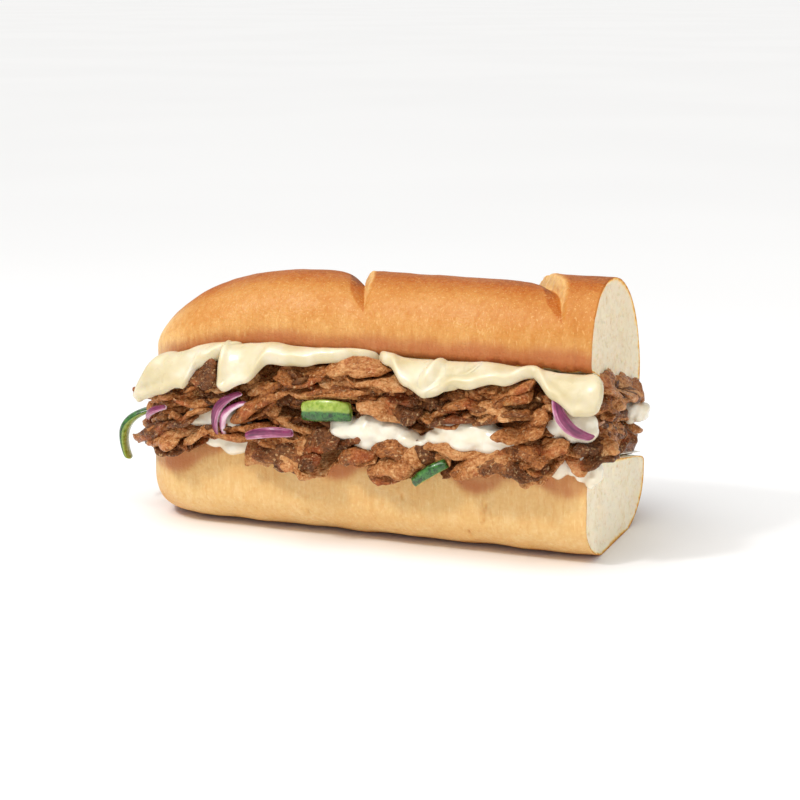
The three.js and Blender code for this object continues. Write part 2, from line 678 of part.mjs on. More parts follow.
addPiece("bun_bottom", lowerBun(), "paleCrust");
addPiece("sauce_lower", spreadOnHeel, "sauce");
addPiece("steak_lower", steakBelow, "steak");
addPiece("sauce_middle", spreadBetween, "sauce");
addPiece("steak_upper", steakAbove, "steak");
CHEESE_SLICES.forEach(({ name }, i) => addPiece(name, cheese[i], "cheese"));
ONIONS.forEach((row) => addPiece(row.name, strip(row), "onion"));
PEPPERS.forEach((row) => addPiece(row.name, strip(row), "pepper"));
addPiece("bun_top", upperBun(), "crust");

export default sandwich;
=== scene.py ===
import math

import bmesh
import bpy
import numpy as np
from mathutils import Matrix, Vector


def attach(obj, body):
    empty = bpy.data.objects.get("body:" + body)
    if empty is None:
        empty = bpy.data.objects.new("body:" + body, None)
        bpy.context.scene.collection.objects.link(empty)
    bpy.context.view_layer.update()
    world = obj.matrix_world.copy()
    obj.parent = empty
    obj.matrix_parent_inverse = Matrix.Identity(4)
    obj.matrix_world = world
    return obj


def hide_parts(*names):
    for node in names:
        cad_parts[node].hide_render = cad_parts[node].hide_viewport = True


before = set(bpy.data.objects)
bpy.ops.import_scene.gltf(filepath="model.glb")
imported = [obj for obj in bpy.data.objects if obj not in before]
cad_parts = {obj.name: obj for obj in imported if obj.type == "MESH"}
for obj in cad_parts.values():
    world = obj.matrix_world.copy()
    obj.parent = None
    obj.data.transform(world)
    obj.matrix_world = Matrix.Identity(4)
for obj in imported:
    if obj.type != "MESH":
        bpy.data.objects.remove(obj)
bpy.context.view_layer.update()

# Lower half of the loaf
# A soft wheat roll, baked pale gold on its sides and browner where it sat on the tray. It is split level
# with the filling and cut square at +X, where the open crumb shows inside a thin line of crust. Sizes are in
# millimetres.
MM = 0.001
CUT_X = 76.0
GOLDEN = 0.618034
HEEL_END_X, HEEL_REACH, HEEL_POWER = -65.2, 22.0, 2.6
HEEL_HALF, HEEL_BELLY, HEEL_DOWN = 31.0, 13.5, 15.1
SEAT, SEAT_SLOPE, SEAT_DROP = 24.9, 0.195, 5.5
HEEL_CUT_MIDDLE = (CUT_X, 0.0, 13.0)
HEEL_SQUARE, HEEL_ROUND = 9, 2.2
CRUST_EDGE, CUT_BAKE = 0.02, 0.4
# Each crack: its place, lowest and highest height, and lean.
CRACKS = ((46.0, 9.0, 17.0, 0.10), (41.5, 4.5, 8.5, -0.2), (-8.0, 6.0, 9.5, 0.15), (22.0, 14.0, 17.5, 0.0))
CRACK_WIDTH, CRACK_DEPTH = 0.38, 0.55
FLAPS, FLAP_REACH = (-50, 2, 45, 70), 8.5
# How deep below the lip the crust is painted red brown, partly juice stain and partly painted shade under the
# filling, and how much deeper under the flaps.
SOAK_AND_SHADE_DEEP, SOAK_AND_SHADE_UNDER_FLAP = 8, 6.5
RING_POINTS = 284
CAP_RINGS = 44


def fade(t):
    """Runs from 0 to 1 with level ends: three times the square of t less twice its cube, held at 0 and 1."""
    t = np.clip(t, 0, 1)
    return t * t * (3 - 2 * t)


def lattice(i, j, k, seed):
    """A number from -1 to 1 for each whole-numbered place: its three numbers times large odd ones, with the
    bits of the sum shifted onto each other and multiplied again."""
    bits = i * 374761393 + j * 668265263 + k * 1442695041 + seed * 974634777
    bits = (bits & 0xFFFFFFFF).astype(np.uint64)
    bits = ((bits ^ (bits >> np.uint64(13))) * np.uint64(1274126177)) & np.uint64(0xFFFFFFFF)
    bits = bits ^ (bits >> np.uint64(16))
    return (bits & np.uint64(0xFFFF)).astype(float) / 32767.5 - 1


def noise(x, y, z, seed=0):
    """Smooth random heights from -1 to 1: the lattice's values at a cell's eight corners, blended by
    fade."""
    x, y, z = np.broadcast_arrays(x, y, z)
    i, j, k = (np.floor(v).astype(np.int64) for v in (x, y, z))
    a, b, c = fade(x - i), fade(y - j), fade(z - k)
    total = np.zeros(x.shape)
    for di, wa in ((0, 1 - a), (1, a)):
        for dj, wb in ((0, 1 - b), (1, b)):
            for dk, wc in ((0, 1 - c), (1, c)):
                total += wa * wb * wc * lattice(i + di, j + dj, k + dk, seed)
    return total


def rugged(x, y, z, seed=0, steps=3):
    """Noise upon noise: each step has twice the fineness of the one before and half its height."""
    return sum(noise(x * 2**n, y * 2**n, z * 2**n, seed + n) / 2**n for n in range(steps))


def eased(count):
    """Places from -1 to 1, close together at both ends: the sine of an angle that runs a half turn."""
    return np.sin(np.linspace(-0.5, 0.5, count) * np.pi)


def turns(count):
    """Angles evenly round a whole turn."""
    return np.linspace(0, 2 * np.pi, count, endpoint=False)


def section(angle, power_up, power_down):
    """A point on an outline that is round or square above and below by two powers, in the direction of an
    angle: the direction times one over the power mean of its two parts."""
    c, s = np.cos(angle), np.sin(angle)
    power = np.where(s >= 0, power_up, power_down)
    radius = (np.abs(c) ** power + np.abs(s) ** power) ** (-1 / power)
    return radius * c, radius * s


def end_stations(end_x, reach, power, count):
    """Places along a rounded end, from its tip inwards, with the share of full width at each: a superellipse
    walked by its angle, so that the steps are even along its curve."""
    angle = np.linspace(0, np.pi / 2, count)
    return end_x + reach * (1 - np.cos(angle) ** (2 / power)), np.sin(angle) ** (2 / power)


def end_fade(x):
    """Grows from 0 to 1 towards the loaf's own end."""
    return fade((-18 - x) / 50)


def floor_z(x, y):
    """Height of the lower half's cut face: it leans down to the back and drops a little at the loaf's own
    end."""
    return SEAT - SEAT_SLOPE * y - SEAT_DROP * end_fade(x)


def grid_faces(rows, columns, closed=False):
    """The quads of a grid of points, in rows; closed also joins its last column to its first."""
    i = np.arange(rows - 1)[:, None] * columns
    j = np.arange(columns if closed else columns - 1)[None, :]
    k = (j + 1) % columns
    return np.stack([i + j, i + k, i + columns + k, i + columns + j], -1).reshape(-1, 4)


def repeated(count, rows, columns):
    """The faces of several closed grids whose points follow each other."""
    one = grid_faces(rows, columns, closed=True)
    return (one[None] + (np.arange(count) * rows * columns)[:, None, None]).reshape(-1, 4)


def outward(p):
    """The way out of a closed tube of rings: its two directions along the grid crossed, at unit length, and
    turned to point away from each ring's middle."""
    along = np.gradient(p, axis=0)
    around = np.roll(p, -1, axis=1) - np.roll(p, 1, axis=1)
    normal = np.cross(around, along)
    normal /= np.linalg.norm(normal, axis=2, keepdims=True) + 1e-9
    away = p - p.mean(axis=1, keepdims=True)
    return normal * np.sign((normal * away).sum())


def level_at_cut(p):
    """The way out of a half of the loaf, without its part along the loaf near the cut, so the cut stays
    flat."""
    way = outward(p)
    way[..., 0] *= fade((CUT_X - 0.2 - p[..., 0]) / 3)
    return way


def placed(name, data):
    """A new object with this data, put in the scene."""
    made = bpy.data.objects.new(name, data)
    bpy.context.collection.objects.link(made)
    return made


def make_piece(name, points, faces, finishes, slot, nodes=(), which=None, **values):
    """An object of the sandwich: points in millimetres, faces, one finish or one for each face, the record's
    material slot, which is not used, the nodes it stands for, and numbers for each point that its finish
    reads."""
    points = np.asarray(points, float).reshape(-1, 3)
    faces = np.asarray(faces)
    a, b, c, d = (points[faces[:, n]] for n in range(4))
    facing = (a * np.cross(b, c)).sum() + (a * np.cross(c, d)).sum()
    if facing < 0:
        faces = faces[:, ::-1]
    mesh = bpy.data.meshes.new(name)
    mesh.from_pydata((points * MM).tolist(), [], faces.tolist())
    for finish in finishes:
        mesh.materials.append(finish.material)
    if which is not None:
        mesh.polygons.foreach_set("material_index", np.asarray(which, np.int32))
    for key, value in values.items():
        layer = mesh.attributes.new(key, "FLOAT", "POINT")
        layer.data.foreach_set("value", np.asarray(value, np.float32).ravel())
    shape = bmesh.new()
    shape.from_mesh(mesh)
    bmesh.ops.remove_doubles(shape, verts=shape.verts, dist=2e-6)
    shape.to_mesh(mesh)
    shape.free()
    mesh.shade_smooth()
    piece = placed(name, mesh)
    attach(piece, "root")
    if nodes:
        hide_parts(*nodes)


def srgb(red, green, blue):
    """A colour given as it looks on a screen, 0 to 255, as the light that the shader reckons with."""
    shown = np.array([red, green, blue]) / 255
    light = np.where(shown <= 0.04045, shown / 12.92, ((shown + 0.055) / 1.055) ** 2.4)
    return (*light.tolist(), 1.0)


class Wire:
    """An output of one of a finish's nodes. Arithmetic on it adds Math nodes."""

    def __init__(self, finish, socket):
        self.finish = finish
        self.socket = socket

    def _math(self, operation, first, second):
        return self.finish.node("Math", {0: first, 1: second}, operation=operation)

    def __add__(self, other):
        return self._math("ADD", self, other)

    def __sub__(self, other):
        return self._math("SUBTRACT", self, other)

    def __rsub__(self, other):
        return self._math("SUBTRACT", other, self)

    def __mul__(self, other):
        return self._math("MULTIPLY", self, other)

    __radd__ = __add__
    __rmul__ = __mul__


class Finish:
    """A material drawn by nodes on one Principled shader, whose own sockets hold what doesn't vary."""

    def __init__(self, name, **constants):
        self.material = bpy.data.materials.new(name)
        self.material.use_nodes = True
        self.tree = self.material.node_tree
        self.tree.nodes.clear()
        self.shader = self.tree.nodes.new("ShaderNodeBsdfPrincipled")
        output = self.tree.nodes.new("ShaderNodeOutputMaterial")
        self.tree.links.new(self.shader.outputs[0], output.inputs["Surface"])
        for key, value in constants.items():
            self.shader.inputs[key.replace("_", " ")].default_value = value
        self.place = self.node("TexCoord", out="Object")

    def node(self, kind, values=None, out=0, stops=None, **settings):
        """Adds a node of a kind: its settings first, then its colour stops, then its sockets' values or
        links."""
        made = self.tree.nodes.new("ShaderNode" + kind)
        for key, value in settings.items():
            setattr(made, key, value)
        if stops:
            elements = made.color_ramp.elements
            while len(elements) < len(stops):
                elements.new(0.5)
            for element, (position, colour) in zip(elements, stops):
                element.position = position
                element.color = colour
        for key, value in (values or {}).items():
            if isinstance(value, Wire):
                self.tree.links.new(value.socket, made.inputs[key])
            else:
                made.inputs[key].default_value = value
        return Wire(self, made.outputs[out])

    def value(self, name):
        """A number that the mesh carries at each point."""
        return self.node("Attribute", out="Fac", attribute_name=name)

    def vector(self, x, y, z):
        return self.node("CombineXYZ", {0: x, 1: y, 2: z})

    def scaled(self, x, y, z, of=None):
        """The place on the object, drawn out or pressed together along each way."""
        return self.node("VectorMath", {0: of or self.place, 1: (x, y, z)}, operation="MULTIPLY")

    def grain(self, size, detail=2.0, rough=0.5, of=None):
        """Noise from 0 to 1 whose blots are about this many millimetres wide."""
        values = {"Vector": of or self.place, "Scale": 1 / (size * MM), "Detail": detail, "Roughness": rough}
        return self.node("TexNoise", values)

    def cells(self, size, **settings):
        """Distance to the nearest of scattered points that lie about this many millimetres apart."""
        return self.node("TexVoronoi", {"Vector": self.place, "Scale": 1 / (size * MM)}, **settings)

    def ranged(self, wire, low, high, to_low=0.0, to_high=1.0):
        """A number carried from one range to another with level ends, and held there."""
        values = {"Value": wire, 1: low, 2: high, 3: to_low, 4: to_high}
        return self.node("MapRange", values, interpolation_type="SMOOTHSTEP")

    def ramp(self, wire, *stops):
        return self.node("ValToRGB", {"Fac": wire}, stops=stops)

    def mix(self, factor, first, second):
        """The first colour where the factor is 0, turning to the second where it is 1."""
        return self.node("Mix", {0: factor, 6: first, 7: second}, out=2, data_type="RGBA")

    def bump(self, height, depth, strength=1.0):
        """Turns a height from 0 to 1, this many millimetres deep, into a tilt of the surface."""
        values = {"Height": height, "Distance": depth * MM, "Strength": strength}
        return self.node("Bump", values, out="Normal")

    def wear(self, **links):
        """Links wires to the shader's own sockets."""
        for key, wire in links.items():
            self.tree.links.new(wire.socket, self.shader.inputs[key.replace("_", " ")])
        return self


def crust_finish(name, stops, wrinkle):
    """Thin baked crust: the mesh's bake runs through the crust's colours with blots, fine flour specks and
    streaks that follow the rise of the dough; by the filling it is painted a duller red brown, partly crust
    steamed there and partly painted shade. Its gloss is soft."""
    crust = Finish(name, Subsurface_Weight=0.15, Subsurface_Radius=(1.0, 0.45, 0.16), Subsurface_Scale=0.0014,
                   Specular_IOR_Level=0.3)
    upright = crust.scaled(1.0, 1.0, 0.22)
    blots = crust.grain(15, 3.0)
    specks = crust.grain(1.1, 2.0, 0.6)
    streaks = crust.grain(1.7, 2.0, 0.6, of=upright)
    tone = crust.value("bake") + (blots - 0.5) * 0.3 + (specks - 0.5) * 0.22 + (streaks - 0.5) * 0.3
    colour = crust.ramp(tone, *stops)
    lines = crust.ranged(crust.grain(1.2, 2.0, 0.55, of=upright), 0.57, 0.7, 0.0, 0.4)
    colour = crust.mix(lines, colour, stops[2][1])
    floury = crust.ranged(crust.grain(0.5, 2.0, of=upright), 0.58, 0.7, 0.0, 0.32)
    colour = crust.mix(floury, colour, stops[0][1])
    # Duller red brown by the filling: partly steamed crust, partly painted shade.
    damp_and_shade = crust.value("seam") + (streaks - 0.5) * 0.4 + (blots - 0.5) * 0.3
    steamed_and_shaded = crust.ranged(damp_and_shade, 0.0, 1.1, 0.0, 0.8)
    colour = crust.mix(steamed_and_shaded, colour, srgb(180, 100, 58))
    tilt = crust.bump(streaks * 0.6 + specks * 0.5 + crust.grain(0.5, 1.0) * 0.3, wrinkle * 2, 0.9)
    rough = crust.ranged(blots + specks * 0.4, 0.4, 1.0, 0.34, 0.6)
    return crust.wear(Base_Color=colour, Normal=tilt, Roughness=rough)


def crumb_finish(name):
    """Open crumb: cream, painted a little darker in its pores as shade in them and darker higher up as
    painted shade on the upper half's cut face, golden where it meets the crust.
    """
    crumb = Finish(name, Subsurface_Weight=0.45, Subsurface_Radius=(1.0, 0.62, 0.35), Subsurface_Scale=0.0022,
                   Specular_IOR_Level=0.2)
    pores = crumb.ranged(crumb.cells(1.5), 0.05, 0.5)
    wide = crumb.ranged(crumb.cells(3.4, feature="SMOOTH_F1"), 0.08, 0.42)
    cloud = crumb.grain(9, 3.0)
    tone = cloud * 0.55 + pores * 0.25 + wide * 0.2
    colour = crumb.ramp(
        tone, (0.2, srgb(226, 199, 150)), (0.45, srgb(241, 221, 184)), (0.75, srgb(248, 234, 206)),
    )
    # Higher up, on the upper half's cut face, the crumb is painted darker: painted shade.
    height = crumb.node("SeparateXYZ", {0: crumb.place}, out="Z")
    colour = crumb.mix(crumb.ranged(height, 0.03, 0.055, 0.0, 0.2), colour, srgb(186, 158, 108))
    ragged = crumb.value("deep") * 0.7 + (crumb.grain(1.4) - 0.5) * 0.8
    edge = crumb.ramp(ragged, (0.0, srgb(176, 96, 36)), (0.4, srgb(238, 180, 92)), (0.7, srgb(246, 216, 152)))
    colour = crumb.mix(crumb.ranged(ragged, 0.3, 1.1), edge, colour)
    tilt = crumb.bump(pores * 0.5 + wide * 0.5 + crumb.grain(0.6, 3.0) * 0.3, 0.55, 0.8)
    return crumb.wear(Base_Color=colour, Normal=tilt, Roughness=crumb.ranged(cloud, 0.2, 0.8, 0.78, 0.95))


def cut_cap(ring, middle, seed):
    """Rings from the loaf's cut edge inwards to its middle, drawn in by share, close together at the crust.
    The crumb is torn into shallow pores a little way in from the crust."""
    inward = np.linspace(0, 1, CAP_RINGS) ** 1.25
    share = (1 - inward)[:, None, None]
    points = middle + (ring[None] - middle) * share
    deep = (1 - share[..., 0]) * np.linalg.norm(ring - middle, axis=1)[None]
    y, z = points[..., 1], points[..., 2]
    pores = np.maximum(rugged(y / 2.6, z / 3.4, 0.5, seed, 2), 0) * 0.55
    pores = pores + rugged(y / 7, z / 9, 1.5, seed, 2) * 0.3
    points[..., 0] -= (0.25 + pores) * fade(deep / 1.6)
    return points[1:], deep[1:]


def make_half(name, node, slot, skin, rings, cut_middle, seed, seat_deep, bake, seam):
    """A half of the loaf from its rings, closed at the cut by a cap of crumb. A face is crumb where it lies
    further in from the crust than the crust is thick."""
    cap, cap_deep = cut_cap(rings[-1], np.array(cut_middle), seed)
    points = np.concatenate([rings.reshape(-1, 3), cap.reshape(-1, 3)])
    deep = np.concatenate([np.where(seat_deep > 0, seat_deep, 0).ravel(), cap_deep.ravel()])
    bake = np.concatenate([bake.ravel(), np.full(cap_deep.size, CUT_BAKE)])
    seam = np.concatenate([seam.ravel(), np.zeros(cap_deep.size)])
    faces = grid_faces(len(rings) + CAP_RINGS - 1, RING_POINTS, closed=True)
    which = deep[faces].mean(axis=1) > CRUST_EDGE
    make_piece(name, points, faces, [skin, crumb], slot, [node], which, bake=bake, deep=deep, seam=seam)


pale_crust = crust_finish(
    "pale_crust",
    [(0.0, srgb(248, 222, 166)), (0.3, srgb(233, 190, 124)), (0.55, srgb(222, 163, 90)),
     (0.78, srgb(184, 110, 56)), (1.0, srgb(118, 62, 32))],
    0.24,
)
crumb = crumb_finish("crumb")

tip_x, tip_share = end_stations(HEEL_END_X, HEEL_REACH, HEEL_POWER, 46)
body_x = np.linspace(HEEL_END_X + HEEL_REACH, CUT_X, 190)[1:]
station = np.concatenate([tip_x, body_x])[:, None]
share = np.concatenate([tip_share, np.ones(len(body_x))])[:, None]
angle = turns(RING_POINTS)[None]
across, up = section(angle, HEEL_SQUARE, HEEL_ROUND)
y = HEEL_HALF * share * across
wrinkle = 0.35 * np.sin(station * 0.31) * np.sin(station * 0.083 + 1)
above = HEEL_BELLY + (floor_z(station, y) - HEEL_BELLY) * up
below = HEEL_BELLY + (HEEL_DOWN * np.sqrt(share) + wrinkle) * up
z = np.where(up >= 0, above, np.maximum(below, 0))
heel = np.stack(np.broadcast_arrays(station, y, z), -1)
x, y, z = heel[..., 0], heel[..., 1], heel[..., 2]
seat_deep = np.where(up > 0.85, (0.95 - np.abs(across)) * HEEL_HALF, -1.0) * np.ones_like(x)
side = fade((z - 0.2) / 2.5) * (1 - fade((seat_deep + 1) / 2))
swell = 0.42 * noise(x / 19, y / 15, z / 13, 3) + 0.16 * rugged(x / 5, y / 5, z / 8, 5, 2)
creases = 0.1 * noise(x / 1.7, y / 1.7, z / 9, 8) * fade(noise(x / 9, y / 9, z / 9, 9) + 0.6)
cracks = np.zeros_like(x)
for crack_x, low, high, lean in CRACKS:
    line = crack_x + lean * (z - low) + 0.5 * noise(z / 2.0, 0.5, crack_x, 12)
    within = fade((z - low) / 1.5) * fade((high - z) / 1.5) * (y < 0)
    cracks += np.exp(-(((x - line) / CRACK_WIDTH) ** 2)) * within
heel += level_at_cut(heel) * (side * (swell + creases - CRACK_DEPTH * cracks))[..., None]
# Below the lip the crust is painted red brown: partly juice soaked in from the filling, partly painted shade
# under the filling, reaching further down under the flaps of steak.
lip = floor_z(x, y) - z
under_flaps = sum(np.exp(-(((x - at) / FLAP_REACH) ** 2)) for at in FLAPS)
soak_and_shade_reach = SOAK_AND_SHADE_DEEP + 2.5 * noise(x / 8, y / 9, 0.5, 14) + SOAK_AND_SHADE_UNDER_FLAP * under_flaps
soak_and_shade = fade((soak_and_shade_reach - lip) / 5)
soak_and_shade *= 0.85 + 0.3 * noise(x / 4, y / 4, z / 4, 15)
tray = fade((2.6 + 0.8 * noise(x / 5, y / 5, 0.5, 16) - z) / 2.2)
heel_brown = fade((-46 - x) / 16) * fade((15 - z) / 11)
# The cracks are painted darker in the bake: painted shade in them.
bake = 0.3 + 0.06 * fade((7 - z) / 5) + 0.42 * tray + 0.12 * soak_and_shade + 0.25 * cracks + 0.2 * heel_brown
seam = 0.95 * soak_and_shade + 0.2 * tray + 0.2 * heel_brown
make_half("lower_loaf", "bun_bottom", "pale_crust", pale_crust, heel, HEEL_CUT_MIDDLE, 21,
          seat_deep, bake, seam)

# Upper half of the loaf
# The baked crown, orange brown on top and golden on its sides, parted into three swellings by two slanting
# score cuts that tore open as it rose. Its underside is split crumb that leans down to the back.
CROWN_END_X, CROWN_REACH, CROWN_POWER = -65.5, 30.0, 2.2
CROWN_MIDDLE, CROWN_HALF, CROWN_CUT_HALF = -2.9, 27.6, 25.8
CROWN_UNDER, CROWN_SLOPE, UNDER_EDGE = 48.6, 0.253, 4.0
CROWN_LEFT, CROWN_CENTRE, CROWN_RIGHT, CROWN_TIP = 74.5, 75.0, 77.4, 45.2
CROWN_ARCH_START, CROWN_ROUND, CROWN_SQUARE = -10, 2.1, 6
CROWN_CUT_MIDDLE = (CUT_X, CROWN_MIDDLE, 61.0)
END_SAG, END_SAG_START, CUT_SAG, CUT_SAG_START = 9.2, -15, 0.6, 30
END_LIFT, END_LIFT_REACH = 6.2, 44
SEAM_DEEP = 8
NOTCH_SKEW = 0.393
# Each score cut: its place along the top, depth, and how far it slopes on its soft side and its sharp one.
NOTCHES = ((-0.7, 4.6, 3.4, 1.1), (57.4, 4.4, 4.2, 0.9))
# The torn band beside each: its width, how low it reaches as a share of the height, and its soft edge.
TORN_BANDS = ((3.8, 0.42, 1.0), (5.0, 0.35, 3.4))


def sag(x):
    """How far the top has sunk: by the square of the way to the loaf's own end, and a little at the cut."""
    to_end = np.clip((END_SAG_START - x) / (END_SAG_START - CROWN_END_X), 0, 1)
    return END_SAG * to_end**2 + CUT_SAG * fade((x - CUT_SAG_START) / (CUT_X - CUT_SAG_START))


def roof_z(x, y):
    """Height of the upper half's cut face, which leans down to the back and sinks to both ends."""
    rise = fade((x - CROWN_END_X) / END_LIFT_REACH)
    return CROWN_UNDER + END_LIFT * (1 - rise) - CROWN_SLOPE * rise * (y - CROWN_MIDDLE) - sag(x)


def crown_line(x):
    """Height of the crown: a quarter of a superellipse over the loaf's own end, then two small steps up."""
    arch = np.clip((CROWN_ARCH_START - x) / (CROWN_ARCH_START - CROWN_END_X), 0, 1)
    left = CROWN_TIP + (CROWN_LEFT - CROWN_TIP) * (1 - arch**CROWN_POWER) ** (1 / CROWN_POWER)
    centre = left + (CROWN_CENTRE - left) * fade((x + 4) / 10)
    return centre + (CROWN_RIGHT - centre) * fade((x - 48) / 12)


def slant_at(u, y):
    """How far a place on the top lies from its station: the scores slant, and the second turns further
    towards the loaf's own end as it crosses the crown."""
    slanting = fade((u - CROWN_END_X - 20) / 30) * fade((CUT_X - u) / 20)
    near_score = np.exp(-(((u - NOTCHES[1][0]) / 10) ** 2))
    return (NOTCH_SKEW * (y + 2) + 5 * fade((y + 20) / 22) * near_score) * slanting


def notch_depth(u):
    """Depth of the deeper score at each place along the top: it falls off steeply on its sharp side."""
    depths = []
    for at, depth, soft, sharp in NOTCHES:
        away = np.abs(at - u) / np.where(u < at, soft, sharp)
        depths.append(depth * np.exp(-(away**1.3)))
    return np.maximum(*depths)


crust = crust_finish(
    "crust",
    [(0.0, srgb(244, 202, 134)), (0.27, srgb(214, 156, 88)), (0.47, srgb(200, 132, 58)),
     (0.77, srgb(180, 94, 12)), (1.0, srgb(128, 64, 18))],
    0.22,
)
tip_u, tip_share = end_stations(CROWN_END_X, CROWN_REACH, CROWN_POWER, 50)
near = np.concatenate([at + np.linspace(-6, 5, 34) for at, *_ in NOTCHES])
plain = np.linspace(CROWN_END_X + CROWN_REACH, CUT_X, 160)[1:]
plain = plain[np.abs(plain[:, None] - [at - 0.5 for at, *_ in NOTCHES]).min(axis=1) > 5.6]
body_u = np.sort(np.concatenate([plain, near]))
u = np.concatenate([tip_u, body_u])[:, None]
share = np.concatenate([tip_share, np.ones(len(body_u))])[:, None]
across, up = section(angle, CROWN_ROUND, CROWN_SQUARE)
width = CROWN_HALF + (CROWN_CUT_HALF - CROWN_HALF) * fade((u - 40) / 36)
y = CROWN_MIDDLE + width * share * across
x = u - slant_at(u, y)
under = roof_z(x, y)
tall = np.maximum(crown_line(u) - roof_z(u, CROWN_MIDDLE), 3)
edge = np.minimum(UNDER_EDGE, tall * 0.4)
wander = 0.35 * noise(0.5, y / 4, 2.5, 31)
scored = notch_depth(u + wander) * fade((up - 0.25) / 0.45)
z = np.where(up >= 0, under + edge + (tall - edge - scored) * up, under + edge + edge * up)
crown = np.stack(np.broadcast_arrays(x, y, z), -1)
x, y, z = crown[..., 0], crown[..., 1], crown[..., 2]
u_all = u * np.ones_like(x)
up_all = up * np.ones_like(x)
seat_deep = np.where(up_all < -0.8, (0.93 - np.abs(across)) * width, -1.0)
side = 1 - fade((seat_deep + 1) / 2)
torn = np.zeros_like(x)
for (at, *_), (wide, lowest, soft_edge) in zip(NOTCHES, TORN_BANDS):
    opening = wide * fade((up_all - lowest) / 0.6)
    ripped = fade((u_all - at + 0.4 + wander) / 0.5) * fade((at + opening - u_all - wander) / soft_edge)
    torn = np.maximum(torn, ripped * (opening > 0.2))
facet = np.zeros_like(x)
for at, *_ in NOTCHES:
    slope = 4.8 * fade((up_all - 0.3) / 0.45)
    turned = fade((u_all - (at - slope)) / 0.7) * fade((at - u_all + 0.2) / 0.6)
    facet = np.maximum(facet, turned * (slope > 0.2))
swell = 0.34 * noise(x / 23, y / 17, z / 15, 33) + 0.12 * rugged(x / 6, y / 6, z / 8, 35, 2)
# Along the lower edge a band is painted duller red brown: partly crust steamed by the filling, partly painted
# shade under the overhanging crown.
low_band = fade((SEAM_DEEP + 1.4 * noise(x / 7, y / 6, 0.5, 36) + 1.2 * fade(x / 60) - (z - under)) / 6)
creases = 0.09 * noise(x / 1.5, y / 1.8, z / 8, 38) * (0.3 + low_band) * 1.6
shreds = torn * 0.35 * rugged(x / 1.3, y / 1.3, z / 1.3, 39, 2)
crown += level_at_cut(crown) * (side * (swell + creases + shreds))[..., None]
frayed = fade((x - 28) / 20) * fade((0.2 - up_all - 0.6) / 0.3 + 0.6) * (up_all < -0.2)
crown[..., 2] += frayed * 0.5 * rugged(x / 1.9, y / 3, 0.5, 41, 3) * (y < CROWN_MIDDLE)
height = np.clip((z - under) / np.maximum(tall, 8), 0, 1)
bake = 0.28 + 0.15 * fade((height - 0.2) / 0.35) + 0.36 * fade((height - 0.68) / 0.28) + 0.22 * facet
# Below the top of the crown, the loaf's own end is painted paler: painted light from the sun on the left.
bake += 0.06 * fade((x - 20) / 40) - 0.34 * fade((-40 - x) / 22) * (1 - fade((height - 0.75) / 0.3))
bake = bake * (1 - torn) + 0.14 * torn
bake += frayed * (0.25 + 0.35 * noise(x / 1.2, y / 2, z, 42))
# The lower band is painted less dark at the loaf's own end, where the light falls: painted light.
seam = low_band * (1 - 0.5 * fade((-50 - x) / 12))
make_half("upper_loaf", "bun_top", "crust", crust, crown, CROWN_CUT_MIDDLE, 51,
          seat_deep, bake, seam)

# Melted cheese
# Four soft slices of mild white cheese laid under the top before it was toasted. They run from front to
# back, overlap at their ends, and have slumped over the steak on both long sides.
RIM_HALF, RIM_END_X, END_CORNER, CUT_CORNER = 30.0, -62.5, 22.0, 6.0
CHEESE_THICK, CHEESE_START, CHEESE_BEND, CHEESE_LEAN = 1.7, 2.5, 5.5, 0.25
CHEESE_ROUND, CHEESE_EDGE = 4.5, 1.3
EDGE_WAVE, HEM_WAVE = 0.9, 0.8
BEAD_HIGH, BEAD_IN, BEAD_SPREAD = 0.5, 1.5, 2.2
HANG_FROM, ROLL_OUT, ROLL_WIDE = 22, 33, 3.6
FAR_UP = 999.0
CHEESE_ROLLS = (1.9, 2.1, 1.1, 0.9)
CHEESE_TURNS = (8, 1, 1, 6)
# Each slice: where its left and right edges start at the back and end in front, then how far it runs, along
# the loaf, to its front hem and to its back hem.
CHEESES = (
    ("cheese_1", (-44, -64.5, -24, -26),
     ((-66.5, 36), (-60, 39.5), (-54, 41), (-47, 42.5), (-42, 42.5), (-38, 37.5), (-24, 34)),
     ((-50, 36), (-38, 39), (-25, 35))),
    ("cheese_2", (-36, -31.4, 8, 15),
     ((-34, 46), (-29.5, 45), (-22, 42.5), (-16.5, 37.5), (0, 36), (14, 33)),
     ((-36, 33), (-15, 38), (12, 32))),
    ("cheese_3", (6, 14.5, 41, 48),
     ((14.5, 34.2), (20, 35.5), (26, 39.5), (32, 43), (40, 40), (48, 35)),
     ((6, 33), (25, 39), (46, 34))),
    ("cheese_4", (38, 28, 66, 81.5),
     ((26, 42), (32, 42.5), (40, 40), (54, 37.7), (61.5, 34.5), (68, 40), (75, 43.5), (79, 42)),
     ((33, 32), (50, 39), (70, 34))),
)


def rim_at(x, y):
    """The filling's outline nearest to each place, how far past it the place is, and the way out: the place
    is drawn into a core, and a corner's radius is added back."""
    corner = np.where(x < 0, END_CORNER, CUT_CORNER)
    core_x = np.clip(x, RIM_END_X + END_CORNER, CUT_X - CUT_CORNER)
    core_y = np.clip(y, corner - RIM_HALF, RIM_HALF - corner)
    far = np.hypot(x - core_x, y - core_y)
    safe = np.maximum(far, 1e-6)
    out_x, out_y = (x - core_x) / safe, (y - core_y) / safe
    return core_x + out_x * corner, core_y + out_y * corner, far - corner, out_x, out_y


def cheese_bed(x, y):
    """Height that the cheese lies at, just under the top."""
    return roof_z(x, np.clip(y, -40, 26)) - CHEESE_THICK - 0.9


def soft_profile(points, x):
    """Runs between named heights with level ends at each of them."""
    px, pz = np.array(points, float).T
    n = np.clip(np.searchsorted(px, x) - 1, 0, len(px) - 2)
    t = np.clip((x - px[n]) / (px[n + 1] - px[n]), 0, 1)
    return pz[n] + (pz[n + 1] - pz[n]) * (0.5 * t + 0.5 * fade(t))


